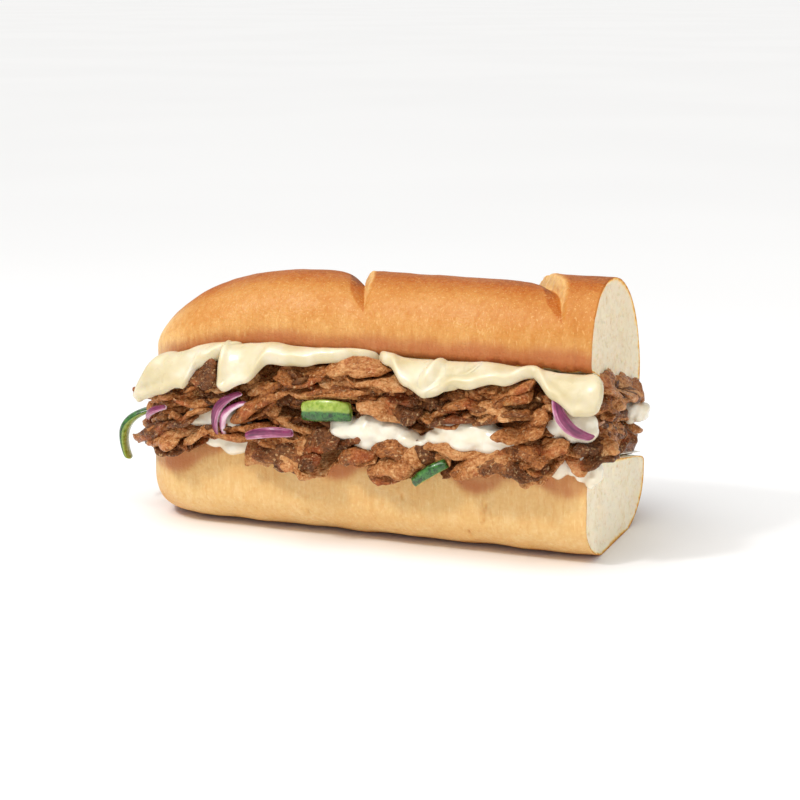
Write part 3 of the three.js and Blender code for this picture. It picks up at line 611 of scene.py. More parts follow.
def fallen(x, y, raised):
    """Places on a sheet that lies on its bed and falls over the filling's edge: past a start line it follows
    an arc, then hangs almost straight. Raised is how far a point stands off the sheet's inner face."""
    rim_x, rim_y, past, out_x, out_y = rim_at(x, y)
    past = past - CHEESE_START
    hanging = past > 0
    turn = np.clip(past / CHEESE_BEND, 0, np.pi / 2 - CHEESE_LEAN)
    straight = np.maximum(past, 0) - turn * CHEESE_BEND
    out = CHEESE_START + CHEESE_BEND * np.sin(turn) + straight * np.cos(turn) + raised * np.sin(turn)
    down = CHEESE_BEND * (1 - np.cos(turn)) + straight * np.sin(turn) - raised * np.cos(turn)
    start = cheese_bed(rim_x + out_x * CHEESE_START, rim_y + out_y * CHEESE_START)
    return np.stack([
        np.where(hanging, rim_x + out_x * out, x),
        np.where(hanging, rim_y + out_y * out, y),
        np.where(hanging, start - down, cheese_bed(x, y) + raised),
    ], -1)


cheese_finish = Finish("melted_cheese", Subsurface_Weight=0.3, Subsurface_Radius=(1.0, 0.72, 0.32),
                       Subsurface_Scale=0.0025, Specular_IOR_Level=0.5, Coat_Weight=0.25, Coat_Roughness=0.2)
melt = cheese_finish.grain(7, 2.0)
milky = cheese_finish.ramp(
    melt, (0.3, srgb(206, 190, 146)), (0.55, srgb(219, 206, 172)), (0.75, srgb(232, 222, 198)),
)
dimples = cheese_finish.grain(3.5, 2.0) + cheese_finish.grain(0.7, 2.0) * 0.12
cheese_finish.wear(
    Base_Color=milky,
    Normal=cheese_finish.bump(dimples, 0.35, 0.5),
    Roughness=cheese_finish.ranged(cheese_finish.grain(4, 2.0), 0.3, 0.7, 0.26, 0.42),
)

CHEESE_ALONG, CHEESE_ACROSS = 96, 150
for number, (name, edges, hang, behind) in enumerate(CHEESES):
    a = eased(CHEESE_ALONG)[None, :, None]
    b = eased(CHEESE_ACROSS)[None, None, :]
    face = np.array([-1.0, 1.0])[:, None, None]
    v = 0.5 + 0.5 * np.sign(b) * np.abs(b) ** 0.8
    u = 0.5 + 0.5 * a + 0 * v
    left = edges[0] + (edges[1] - edges[0]) * v ** CHEESE_TURNS[number]
    right = edges[2] + (edges[3] - edges[2]) * v
    x = left + (right - left) * u + EDGE_WAVE * noise(v * 6, number, 0.5, 62)
    front = -soft_profile(hang, x) - HEM_WAVE * noise(x / 5, number, 0.5, 63)
    back = soft_profile(behind, x) + HEM_WAVE * noise(x / 6, number, 0.5, 64)
    long = right - left
    side_gap = np.minimum(u, 1 - u) * long
    cut = CHEESE_ROUND - np.sqrt(CHEESE_ROUND**2 - np.maximum(CHEESE_ROUND - side_gap, 0) ** 2)
    front, back = front + cut, back - cut
    y = back + (front - back) * v
    rim_gap = np.minimum(side_gap, np.minimum(v, 1 - v) * (back - front))
    rounded = np.sqrt(np.clip(1 - (1 - np.clip(rim_gap / CHEESE_EDGE, 0, 1)) ** 2, 0, 1))
    bead = BEAD_HIGH * np.exp(-((rim_gap - BEAD_IN) ** 2) / BEAD_SPREAD)
    thick = CHEESE_THICK * (0.8 + 0.25 * np.sin(np.pi * np.clip(u * 1.1, 0, 1)) + bead)
    lumps = 0.8 * noise(x / 9, y / 9, number + 0.5, 65) + 0.35 * noise(x / 4, y / 4, number, 66)
    hanging = fade((np.abs(y) - HANG_FROM) / 6)
    roll = CHEESE_ROLLS[number] + 0.7 * noise(x / 8, number, 0.5, 67)
    roll = roll * np.exp(-(((np.abs(y) - ROLL_OUT) / ROLL_WIDE) ** 2))
    raised = thick / 2 * (1 + face * rounded) + (0.5 + lumps) * hanging + roll * (0.5 + 0.5 * face) * rounded
    drape = fallen(x * np.ones_like(raised), y * np.ones_like(raised), raised)
    count = CHEESE_ALONG * CHEESE_ACROSS
    lower = grid_faces(CHEESE_ALONG, CHEESE_ACROSS)
    faces = np.concatenate([lower[:, ::-1], lower + count])
    make_piece("slice_of_" + name, drape, faces, [cheese_finish], "cheese", [name])


def cheese_hem(x):
    """Height of the lowest cheese in front at each place along the side, and far above where there is
    none."""
    start = cheese_bed(x, -RIM_HALF - CHEESE_START)
    steep = np.pi / 2 - CHEESE_LEAN
    hem = np.full(np.shape(x), FAR_UP)
    for _, edges, hang, _ in CHEESES:
        straight = soft_profile(hang, x) - RIM_HALF - CHEESE_START - steep * CHEESE_BEND
        low = start - CHEESE_BEND * (1 - np.cos(steep)) - straight * np.sin(steep)
        front_left, front_right = edges[1], edges[3]
        hem = np.where((x > front_left) & (x < front_right), np.minimum(hem, low), hem)
    return hem


# Shaved steak
# Thin slices of griddled beef, heaped loosely: wavy, ragged at their edges, seared brown on the lit faces
# and dark between them, where a core painted dark stands in for the shade. Two heaps, one on each side of the
# sauce, each lie round such a packed core.
STEAK_THICK, ONION_THICK = 2.3, 1.7
# The height of the tongues' middles, and how far slices stay back where sauce shows.
LIP_MIDDLE, HELD_BACK = 26, 4.5
MIDDLE_RISE, MIDDLE_EDGE_DROP = 11.5, 5.5
# Each slice: its middle's place along the rim, its height, length, width, reach past the rim, slant and droop
# in degrees, and curl.
SHOWN_UPPER = (
    (-62.5, 38, 11, 11, 8, 10, 5, 2),
    (-44, 42, 19, 13, 7.5, 25, 25, 2),
    (-37, 46.5, 12, 13, 6.5, 5, 50, 2),
    (-37, 40.8, 20, 14, 8, 8, 12, 2.5),
    (-19, 41.5, 27, 12, 8, 32, 18, 2.5),
    (-13, 45.5, 23, 13, 7, 26, 15, 2),
    (-2, 49.5, 16, 14, 6.5, -6, 25, 2),
    (13, 49.8, 22, 15, 7, -3, 14, 3),
    (3, 45.6, 31, 14, 8.5, 4, 8, 2.5),
    (20, 43.5, 21, 13, 7, -6, 55, 2),
    (36, 45, 15, 13, 7.5, 10, 22, 2),
    (52, 48, 21, 13, 7.5, 20, 32, 2),
    (38, 41, 21, 14, 8, 5, 6, 2),
    (53, 43.6, 22, 14, 8.5, 8, 15, 2.5),
    (59, 39.8, 15, 12, 8, 18, 50, 2),
    (81, 45.5, 14, 12, 5, 12, 35, 3),
    (98, 46.5, 18, 13, 6.5, -12, 20, 3),
)
SHOWN_LOWER = (
    (-46.5, 31.5, 30, 11, 8, 22, 8, 2),
    (-54.5, 27.5, 22, 12, 8.5, 24, 6, 2),
    (-38, 31.8, 22, 11, 8, 16, 10, 2),
    (-47, 28.6, 18, 16, 8.5, 8, 38, 2),
    (-28, 31.6, 20, 13, 8, 3, 16, 2),
    (-14, 28.8, 22, 17, 9, -8, 50, 2.5),
    (-4.5, 28, 19, 17, 9, 9, 54, 2.5),
    (9, 30.5, 15, 15, 8, 14, 44, 2),
    (22, 28.8, 18, 17, 9, 5, 54, 2),
    (33, 31.2, 17, 15, 8.5, -6, 44, 2),
    (46, 31, 24, 16, 9.5, 11, 42, 2.5),
    (64, 32.6, 15, 14, 8.5, 15, 38, 2),
    (59.5, 31, 16, 15, 9, 0, 54, 2),
    (75, 34, 15, 14, 7.5, 15, 30, 2.5),
)
# Each tongue: its place, width, fall, and side of the loaf.
LIP_TONGUES = ((-31, 9, 5.5, -1), (9, 4.5, 4.5, -1), (31.5, 5.5, 4, -1), (55.5, 6.5, 4.5, -1), (69, 5, 5, -1),
               (76.5, 3.5, 7, -1), (-22, 7, 4.5, 1))
# Each dollop: its middle, then half its length, depth and height.
DOLLOPS = (
    (-33, -33, 35, 10, 4.5, 3.4),
    (13, -33.5, 34.8, 11.5, 5, 4.6),
    (26, -33, 32.6, 6, 4.5, 2.8),
    (44, -33.5, 36, 14.5, 5, 4.4),
    (72, -31.5, 40.6, 7, 4.5, 4.2),
    (-56.5, -15, 33.5, 6, 7, 2.8),
    (76.5, 15, 35.5, 4.5, 6, 3.2),
    (52, 32, 25.5, 11, 4.5, 3.6),
    (14, 32, 25, 12, 4.5, 4),
    (-28, 31.5, 24, 9, 4.5, 3.4),
)
# Each strip: its place along the rim, height, reach, length, width, bow and slant. A pepper's thickness, turn
# and the side of its section that has skin come after them.
ONIONS = (
    ("onion_1", -30, 38, 9.2, 15, 2.6, 3.2, 58),
    ("onion_2", -15.5, 32.8, 10.4, 15, 3, 1, 8),
    ("onion_3", -50.5, 35.2, 9.4, 10, 2, 0.6, 28),
    ("onion_4", 71.2, 43.8, 8.6, 16, 3.4, -3, -50),
    ("onion_5", -156.5, 31, 8.8, 16, 2.6, 2.5, 40),
    ("onion_6", -201.5, 28, 9, 14, 2.8, -2, -20),
)
PEPPERS = (
    ("pepper_1", 1.6, 40.4, 8.6, 15, 6.2, 0.6, 3, 2.6, 0, -2.0),
    ("pepper_2", -71.5, 23.8, 10.9, 19, 2.8, 5.5, 58, 5.5, 90, 2.1),
    ("pepper_3", 32.6, 25.4, 8.4, 12, 3.2, 0.5, 34, 2.6, 0, 3.0),
    ("pepper_4", -178.5, 33.5, 8.8, 15, 5, 1, -10, 2.8, 0, -1.57),
)
BACK, LOAF_END, CUT_FACE, FRONT = (-230.0, -124.5), (-120.5, -58.5), (84, 126), (-57, 82)


def middle_z(x, y):
    """Height of the sauce that parts the two heaps: domed, and lower towards both sides."""
    return floor_z(x, y) + MIDDLE_RISE - MIDDLE_EDGE_DROP * np.minimum(np.abs(y) / 33, 1.1) ** 3


def half_at(x):
    """Half the width of the filling's outline."""
    into = np.maximum(RIM_END_X + END_CORNER - x, 0)
    return RIM_HALF - END_CORNER + np.sqrt(np.maximum(END_CORNER**2 - into**2, 0))


def along_rim(distance):
    """A point round the filling's outline by its distance from the middle of the front, with the way out:
    the corner's middle and the way out both run straight between the ends of the outline's arcs and
    sides."""
    arc = RIM_END_X + END_CORNER
    quarter, small = END_CORNER * np.pi / 2, CUT_CORNER * np.pi / 2
    side_y = RIM_HALF - END_CORNER
    cut = CUT_X - CUT_CORNER
    stops = [arc - 2 * quarter - 2 * side_y, arc - quarter - 2 * side_y, arc - quarter, arc, cut, cut + small]
    heading = np.interp(distance, stops, [-1.5 * np.pi, -np.pi, -np.pi, -np.pi / 2, -np.pi / 2, 0])
    left = distance < arc
    radius = np.where(left, END_CORNER, CUT_CORNER)
    core_x = np.where(left, arc + np.maximum(stops[0] - distance, 0), np.clip(distance, arc, cut))
    core_y = np.where(
        left,
        np.interp(distance, stops[1:3], [side_y, -side_y]),
        CUT_CORNER - RIM_HALF + np.maximum(distance - stops[5], 0),
    )
    out_x, out_y = np.cos(heading), np.sin(heading)
    return core_x + radius * out_x, core_y + radius * out_y, out_x, out_y


def on_rim(p, rim, z, out, slant, droop, turn):
    """Points drawn round their own middle, y into the food, tipped by droop, slant and turn in degrees,
    moved out and up, and set at a place on the filling's outline."""
    droop, slant, turn = np.radians(droop), np.radians(slant), np.radians(turn)
    x, y, h = p[..., 0], p[..., 1], p[..., 2]
    y, h = y * np.cos(droop) - h * np.sin(droop), y * np.sin(droop) + h * np.cos(droop)
    x, h = x * np.cos(slant) - h * np.sin(slant), x * np.sin(slant) + h * np.cos(slant)
    x, y = x * np.cos(turn) - y * np.sin(turn), x * np.sin(turn) + y * np.cos(turn)
    y, h = y - out, h + z
    at_x, at_y, out_x, out_y = along_rim(rim)
    return np.stack([at_x - out_y * x - out_x * y, at_y + out_x * x - out_y * y, h], -1)


def tucked(p):
    """Steak that would stand through the cheese or the top is pressed back under the cheese's inner face."""
    x, y, z = p[..., 0], p[..., 1], p[..., 2]
    rim_x, rim_y, past, out_x, out_y = rim_at(x, y)
    bed = cheese_bed(np.where(past > 0, rim_x, x), np.where(past > 0, rim_y, y))
    steep = np.pi / 2 - CHEESE_LEAN
    down = np.maximum(bed - z, 0)
    turn = np.arccos(np.clip(1 - down / CHEESE_BEND, np.cos(steep), 1))
    further = np.maximum(down - CHEESE_BEND * (1 - np.cos(steep)), 0) / np.tan(steep)
    uneven = 0.8 * noise(x / 2.5, y / 2.5, z / 2.5, 77)
    limit = CHEESE_START + CHEESE_BEND * np.sin(turn) + further - 0.9 + uneven
    hem = np.where(y < 0, cheese_hem(np.clip(x, -67, 78)), bed - 6)
    covered = fade((z - hem + 1.2) / 1.6)
    new_past = np.where(past > limit, past + (limit - past) * covered, past)
    outer = past > 0
    x = np.where(outer, rim_x + out_x * new_past, x)
    y = np.where(outer, rim_y + out_y * new_past, y)
    z = np.minimum(z, np.where(past < CHEESE_START + 2, bed - 0.5, FAR_UP))
    return np.stack([x, y, z], -1)


def behind_strips(p):
    """Steak is pressed back behind each strip of onion and pepper: in the strip's own frame, with its bow
    taken off, whatever stands in front of its inner side within its outline moves in to it."""
    x, y, z = (p[..., n] for n in range(3))
    for row in ONIONS + PEPPERS:
        rim, height, out, length, high, bow, slant = row[1:8]
        thick = row[8] if len(row) > 8 else ONION_THICK
        at_x, at_y, out_x, out_y = (float(value) for value in along_rim(np.array(float(rim))))
        far = (x - at_x) * out_x + (y - at_y) * out_y - out
        along = (y - at_y) * out_x - (x - at_x) * out_y
        turn = math.radians(slant)
        s = along * math.cos(turn) + (z - height) * math.sin(turn)
        w = (z - height) * math.cos(turn) - along * math.sin(turn)
        w = w - bow * (0.5 - np.clip(2 * s / length, -1, 1) ** 2)
        within = fade((length / 2 + 1.2 - np.abs(s)) / 1.6) * fade((high / 2 + 1.3 - np.abs(w)) / 1.4)
        push = np.clip(far + thick / 2 + 0.2, 0, 8) * within * (far > -6)
        x, y = x - out_x * push, y - out_y * push
    return np.stack([x, y, z], -1)


def shaved(rows, first, long_steps, round_steps, seed, plump=1.0, over_cheese=False):
    """Slices of steak as closed thin tubes of rings, each ring run over its upper face and back under it.
    The outline and wave are sines of the slice's own number with noise for the ragged edge; the faces have
    fine fibres along the slice; it thins to a rounded edge. Returns points, faces and what the finish
    reads."""
    rows = np.array(rows, float)
    rim, z, length, width, reach, slant, droop, curl = (rows[:, n, None, None] for n in range(8))
    count = len(rows)
    own = ((first + np.arange(count)) * GOLDEN * 2 * np.pi)[:, None, None]
    tag = own * 3.7
    u = eased(long_steps)[None, :, None]
    loop = turns(round_steps)[None, None, :]
    v = -np.cos(loop)
    face = np.sign(np.sin(loop)) * (np.abs(np.sin(loop)) > 1e-6)
    edge_side = np.sign(v)
    ragged = 1 + 0.16 * np.sin(2.9 * u + own) + 0.08 * np.sin(7.3 * u + 2 * own)
    ragged = ragged + 0.09 * rugged(u * length / 5, edge_side, tag, seed, 3) * np.abs(v) ** 2
    ends = 1 - 0.2 * v * v * (1 + 0.5 * np.sin(own))
    ends = ends + 0.07 * rugged(v * width / 4, np.sign(u), tag, seed + 3, 3) * u * u
    x = (length / 2) * u * ends
    y = (width / 2) * v * ragged * (1 - 0.2 * u * u)
    rim_near = np.maximum(np.abs(u), np.abs(v))
    rounded = np.sqrt(np.clip(1 - rim_near**7, 0, 1))
    half = plump * STEAK_THICK / 2 * (1 - 0.2 * rim_near**3) * rounded
    half = half * (0.9 + 0.3 * noise(x / 4, y / 4, tag, seed + 5))
    fibre = 0.2 * noise(x / 3.2, y / 0.9, tag, seed + 6) + 0.42 * rugged(x / 1.7, y / 1.5, tag, seed + 7, 2)
    wave = curl * (0.5 * np.cos(2.6 * u + own) + 0.35 * np.sin(1.9 * v + 1.7 * u + 2 * own))
    wave = wave + 0.5 * noise(x / 5.5, y / 4.5, tag + 9, seed + 8) * np.minimum(length / 14, 1)
    z_own = wave + face * half + fibre * rounded * np.where(face < 0, 0.4, 1.0)
    x, y, z_own = np.broadcast_arrays(x, y, z_own)
    out = reach - (width / 2) * np.cos(np.radians(droop))
    p = on_rim(np.stack([x, y, z_own], -1), rim, z, out, slant, droop, 14 * np.sin(own))
    p = behind_strips(p if over_cheese else tucked(p))
    shape = p.shape[:3]
    tone = np.broadcast_to(0.5 + 0.5 * np.sin(own * 5.1 + 1.3), shape)
    values = {
        "along": np.broadcast_to(x * MM + own, shape),
        "across": np.broadcast_to(y * MM, shape),
        "tone": tone,
    }
    faces = repeated(count, long_steps, round_steps)
    return p.reshape(-1, 3), faces, {key: value.ravel() for key, value in values.items()}


def spread_rows(count, start, end, low, high, reach, size, seed):
    """Rows for slices spread evenly round part of the outline, each with its height above the cut face,
    tilt, size and reach drawn at random."""
    draw = np.random.default_rng(seed).random((8, count))
    rim = start + (end - start) * (np.arange(count) + draw[0]) / count
    at_x, at_y, _, _ = along_rim(rim)
    z = floor_z(at_x, at_y) + low + (high - low) * draw[1]
    over_lip = tuple(
        (at, side_y * HEEL_HALF, LIP_MIDDLE, wide, 4, fall) for at, wide, fall, side_y in LIP_TONGUES
    )
    near = sum(
        np.exp(-(((at_x - x) / (long * 0.8)) ** 4) - ((at_y - y) / 12) ** 4 - ((z - mid) / (tall + 1.5)) ** 4)
        for x, y, mid, long, _, tall in DOLLOPS + over_lip
    )
    length = size * (0.85 + 0.6 * draw[2])
    width = size * (0.5 + 0.25 * draw[3])
    out = reach[0] + (reach[1] - reach[0]) * draw[4] - HELD_BACK * np.clip(near, 0, 1)
    slant, droop, curl = 44 * (draw[5] - 0.5), 2 + 40 * draw[6], 0.7 + 1.2 * draw[7]
    return np.stack([rim, z, length, width, out, slant, droop, curl], 1)


def overlays(rows):
    """Two narrower slices for each shown one, folded against it: one along its upper half and one lower
    down, turned a little and standing out a millimetre further."""
    rows = np.array(rows, float)
    turn = np.sin(np.arange(len(rows)) * 2.4)
    upper, lower = rows.copy(), rows.copy()
    for made, side in ((upper, 1), (lower, -1)):
        made[:, 0] += 2.6 * turn * side
        made[:, 1] += side * 0.2 * made[:, 3] * np.sin(np.radians(made[:, 6]))
        made[:, 2] *= 0.82
        made[:, 3] *= 0.42
        made[:, 4] += 0.3 - side * 0.8
        made[:, 5] += 9 * side * turn
        made[:, 7] = 1.4
    return np.concatenate([upper, lower])


def merged(parts):
    """Joins several sets of points, faces and values into one."""
    offset = np.cumsum([0] + [len(p) for p, _, _ in parts[:-1]])
    points = np.concatenate([p for p, _, _ in parts])
    faces = np.concatenate([f + o for (_, f, _), o in zip(parts, offset)])
    values = {key: np.concatenate([v[key] for _, _, v in parts]) for key in parts[0][2]}
    return points, faces, values


def pressed(lower, upper, steps, loops, square, sharp, end_gap, side_gap, wavy, seed):
    """A closed slab between two surfaces, drawn in from the filling's outline by a gap at its ends and one
    along its sides. Two powers say how square it is across and along, and its rim may be wavy."""
    a = eased(steps)[:, None]
    c, h = section(turns(loops)[None], square, square)
    x = (RIM_END_X + CUT_X) / 2 + (CUT_X - RIM_END_X - 2 * end_gap) / 2 * a + 0 * c
    y = c * (half_at(x) - side_gap + wavy * noise(x / 5, np.sign(c), 0.5, seed))
    t = 0.5 + 0.5 * h * np.sqrt(np.clip(1 - a**sharp, 0, 1))
    return x, y, lower(x, y) + (upper(x, y) - lower(x, y)) * t


def heap_core(lower, upper, seed):
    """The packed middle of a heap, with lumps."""
    steps, loops = 120, 120
    x, y, z = pressed(lower, upper, steps, loops, 9, 80, 1, 2.2, 0, seed)
    lumps = rugged(x / 4, y / 4, z / 3, seed, 2)
    x = x + 1.6 * noise(y / 4, z / 3, x / 9, seed + 4) * fade((x - 60) / 10)
    y = y * (1 + 0.045 * lumps)
    points = np.stack([x, y, z + 0.5 * lumps], -1).reshape(-1, 3)
    # The core's tone is held low, so it is painted dark: painted shade in the gaps between the slices.
    values = {"along": points[:, 0] * MM, "across": points[:, 2] * MM, "tone": np.full(len(points), 0.1)}
    return points, grid_faces(steps, loops, closed=True), values


steak = Finish("griddled_steak", Subsurface_Weight=0.06, Subsurface_Radius=(1.0, 0.35, 0.2),
               Subsurface_Scale=0.001, Specular_IOR_Level=0.5, Specular_Tint=srgb(255, 226, 190))
fibres = steak.scaled(0.28, 1.0, 1.0, of=steak.vector(steak.value("along"), steak.value("across"), 0.0))
fine = steak.grain(0.55, 3.0, 0.65, of=fibres)
coarse = steak.grain(4.2, 3.0, 0.55)
crumbly = steak.grain(0.9, 2.0, 0.6)
tone = steak.value("tone") * 0.3 + coarse * 0.5 + (fine - 0.5) * 0.55 + (crumbly - 0.5) * 0.6 + 0.07
seared = steak.ramp(
    tone, (0.12, srgb(50, 22, 8)), (0.32, srgb(112, 58, 24)), (0.5, srgb(162, 96, 46)),
    (0.68, srgb(202, 142, 88)), (0.92, srgb(238, 198, 148)),
)
rosy = steak.ranged(steak.grain(6, 2.0), 0.54, 0.7, 0.0, 0.4)
seared = steak.mix(rosy, seared, srgb(176, 80, 40))
fatty = steak.ranged(steak.grain(5, 3.0, of=fibres), 0.6, 0.72, 0.0, 0.35)
seared = steak.mix(fatty, seared, srgb(222, 168, 96))
charred = steak.ranged(steak.value("tone") + steak.grain(6, 2.0) * 0.6, 0.62, 0.3, 0.0, 0.55)
seared = steak.mix(charred, seared, srgb(70, 36, 16))
# Pale flecks are painted highlights: small glints of grease.
painted_glint = steak.ranged(steak.grain(0.8, 1.0), 0.6, 0.74, 0.0, 0.45)
seared = steak.mix(painted_glint, seared, srgb(240, 200, 146))
steak.wear(
    Base_Color=seared,
    Normal=steak.bump(fine * 0.5 + crumbly * 1.0 + steak.grain(0.5, 1.0) * 0.4, 0.7, 1.0),
    Roughness=steak.ranged(coarse + crumbly * 0.4, 0.5, 0.9, 0.16, 0.42),
)

FINE, MEDIUM, SMALL = (44, 36), (30, 24), (16, 12)
OVER_CHEESE = (
    (-36.2, 48.4, 9, 9, 10.6, 0, 66, 0.8),
    (-6, 49.8, 17, 8, 9.8, 6, 30, 1.4),
    (10.5, 53, 20, 8, 8.8, 5, 26, 1.4),
    (14, 49.5, 25, 9, 9.2, -5, 20, 1.8),
    (-48, 37.6, 15, 10, 6, 12, 30, 1.5),
)
AT_CUT = (
    (85, 49.8, 12, 8, 1.6, -10, 70, 1.0),
    (94, 48, 14, 8, 1.6, -14, 72, 1.0),
    (104, 45.4, 14, 8, 1.6, -14, 70, 1.0),
    (114, 42.8, 13, 8, 1.6, -14, 72, 1.0),
)
FILLING_LENGTH = (-58, 80)
BEHIND = (-235, -58)
HEAPS = (
    ("lower_steak", ["steak_lower"], [
        heap_core(lambda x, y: floor_z(x, y) + 0.5, lambda x, y: middle_z(x, y) - 0.8, 71),
        shaved(SHOWN_LOWER, 1, *FINE, 101),
        shaved(overlays(SHOWN_LOWER), 701, *MEDIUM, 108),
    ]),
    ("lower_steak_between", [], [
        shaved(spread_rows(30, *FRONT, 2.0, 8.5, (3.2, 5.8), 19, 201), 201, *MEDIUM, 102, 1.05),
        shaved(spread_rows(15, 84, 119, 1.5, 9.5, (-0.2, 1.8), 12, 204), 301, *MEDIUM, 105, 1.3),
        shaved(spread_rows(34, *FILLING_LENGTH, 1.0, 9.0, (5.0, 7.5), 7, 205), 321, *SMALL, 106),
    ]),
    ("lower_steak_behind", [], [
        shaved(spread_rows(26, *BACK, 0.5, 7.5, (4.5, 7.5), 18, 202), 241, *MEDIUM, 103, 1.15),
        shaved(spread_rows(14, *LOAF_END, 1.0, 8.0, (4.0, 7.0), 16, 203), 281, *MEDIUM, 104, 1.15),
        shaved(spread_rows(40, *BEHIND, 1.0, 9.0, (5.5, 8.0), 6, 206), 601, *SMALL, 107),
    ]),
    ("upper_steak", ["steak_upper"], [
        heap_core(lambda x, y: middle_z(x, y) + 0.8,
                  lambda x, y: roof_z(x, y) - 0.6 - 2.7 * fade((74 - x) / 8), 72),
        shaved(SHOWN_UPPER, 60, *FINE, 111),
        shaved(overlays(SHOWN_UPPER), 751, *MEDIUM, 118),
        shaved(OVER_CHEESE, 37, *MEDIUM, 119, 1.0, True),
        shaved(AT_CUT, 45, *MEDIUM, 121, 1.7, True),
    ]),
    ("upper_steak_between", [], [
        shaved(spread_rows(36, *FRONT, 9.5, 20.0, (3.0, 5.6), 19, 211), 401, *MEDIUM, 112, 1.05),
        shaved(spread_rows(38, *CUT_FACE, 9.0, 29, (-0.2, 1.8), 13, 214), 521, *MEDIUM, 115, 1.1),
        shaved(spread_rows(38, *FILLING_LENGTH, 9.0, 20.0, (4.5, 7.0), 7, 215), 571, *SMALL, 116),
    ]),
    ("upper_steak_behind", [], [
        shaved(spread_rows(30, *BACK, 9.0, 19.0, (4.0, 7.0), 18, 212), 451, *MEDIUM, 113, 1.15),
        shaved(spread_rows(12, *LOAF_END, 9.0, 16.0, (3.5, 6.5), 15, 213), 501, *MEDIUM, 114, 1.15),
        shaved(spread_rows(26, *LOAF_END, 15.0, 23.0, (0.5, 4.5), 17, 217), 531, *MEDIUM, 120, 1.15),
        shaved(spread_rows(44, *BEHIND, 9.0, 20.0, (5.0, 7.5), 6, 216), 651, *SMALL, 117),
    ]),
)
for name, nodes, parts in HEAPS:
    points, faces, values = merged(parts)
    make_piece(name, points, faces, [steak], "steak", nodes, **values)

# White sauce
# A thick garlicky mayonnaise, spooned on the bread and between the heaps. It bulges out between the slices
# in glossy rounded lumps and runs over the lower half's lip in short tongues.
BALL_ROWS, BALL_SIDES, BALL_UNEVEN = 17, 24, 0.45
VOXEL, SOFTENING = 0.42, 5
TONGUE_THICK, TONGUE_OVER = 3.2, 1.2


def spread_sheet(inset, lower, upper, seed):
    """Sauce pressed flat across the filling between two surfaces."""
    steps, loops = 90, 72
    points = np.stack(pressed(lower, upper, steps, loops, 4, 30, inset, inset, 0.7, seed), -1)
    return points.reshape(-1, 3), grid_faces(steps, loops, closed=True)


def clotted(lumps, seed):
    """Balls and smaller balls round them, each swollen unevenly by noise: a dollop's centre, then five more
    that ride its rim, drawn at random."""
    draw = np.random.default_rng(seed)
    balls = []
    for x, y, z, long, deep, high in lumps:
        balls.append((x, y, z, long * 0.72, deep, high * 0.9))
        for step in range(6):
            turn = 2 * np.pi * (step + draw.random() * 0.7) / 6
            size = 0.36 + 0.2 * draw.random()
            balls.append((
                x + 0.62 * long * np.cos(turn), y - 0.2 * deep * draw.random(), z + 0.5 * high * np.sin(turn),
                long * size, deep * (0.7 + 0.25 * draw.random()), high * (size + 0.2),
            ))
    centre = np.array(balls)[:, None, None, :3]
    size = np.array(balls)[:, None, None, 3:]
    tall = np.linspace(0, np.pi, BALL_ROWS)[None, :, None]
    turn = turns(BALL_SIDES)[None, None, :]
    parts = np.sin(tall) * np.cos(turn), np.sin(tall) * np.sin(turn), np.cos(tall)
    ball = np.stack(np.broadcast_arrays(*parts), -1)
    p = centre + ball * size
    uneven = BALL_UNEVEN * noise(p[..., 0] / 2.6, p[..., 1] / 2.6, p[..., 2] / 2.2, seed)
    p = p + ball * uneven[..., None]
    return p.reshape(-1, 3), repeated(len(balls), BALL_ROWS, BALL_SIDES)


def blended(points, faces, voxel, passes):
    """Overlapping closed shapes as one skin: Blender's voxel remesh, then smoothing passes."""
    mesh = bpy.data.meshes.new("blend")
    mesh.from_pydata((points * MM).tolist(), [], faces.tolist())
    piece = placed("blend", mesh)
    remesh = piece.modifiers.new("skin", "REMESH")
    remesh.mode = "VOXEL"
    remesh.voxel_size = voxel * MM
    smooth = piece.modifiers.new("soft", "SMOOTH")
    smooth.factor = 0.5
    smooth.iterations = passes
    done = piece.evaluated_get(bpy.context.evaluated_depsgraph_get()).to_mesh()
    made = np.empty(len(done.vertices) * 3)
    done.vertices.foreach_get("co", made)
    quads = np.array([tuple(f.vertices) for f in done.polygons if len(f.vertices) == 4])
    bpy.data.objects.remove(piece)
    return made.reshape(-1, 3) / MM, quads


sauce = Finish("white_sauce", Subsurface_Weight=0.3, Subsurface_Radius=(1.0, 0.85, 0.65),
               Subsurface_Scale=0.0016, Specular_IOR_Level=0.5, Coat_Weight=0.35, Coat_Roughness=0.12)
thin = sauce.grain(5, 2.0)
sauce.wear(
    Base_Color=sauce.ramp(thin, (0.3, srgb(232, 219, 190)), (0.6, srgb(243, 236, 218))),
    Normal=sauce.bump(sauce.grain(1.6, 2.0), 0.25, 0.45),
    Roughness=sauce.ranged(thin, 0.3, 0.7, 0.18, 0.32),
)
tongues = []
for at, wide, fall, side_y in LIP_TONGUES:
    lip_y = side_y * (HEEL_HALF - 0.4)
    middle_up = floor_z(at, lip_y) + TONGUE_OVER - fall / 2
    tongues.append((at, lip_y, middle_up, wide, TONGUE_THICK, fall / 2 + TONGUE_OVER))
for name, node, lumps, sheet in (
    ("lip_sauce", "sauce_lower", tongues,
     spread_sheet(0.8, lambda x, y: floor_z(x, y) + 0.3, lambda x, y: floor_z(x, y) + 1.5, 81)),
    ("middle_sauce", "sauce_middle", DOLLOPS,
     spread_sheet(1.5, lambda x, y: middle_z(x, y) - 0.8, lambda x, y: middle_z(x, y) + 0.8, 82)),
):
    points, faces = blended(*clotted(lumps, len(lumps)), VOXEL, SOFTENING)
    sheet_points, sheet_faces = sheet
    faces = np.concatenate([faces, sheet_faces + len(points)])
    make_piece(name, np.concatenate([points, sheet_points]), faces, [sauce], "sauce", [node])

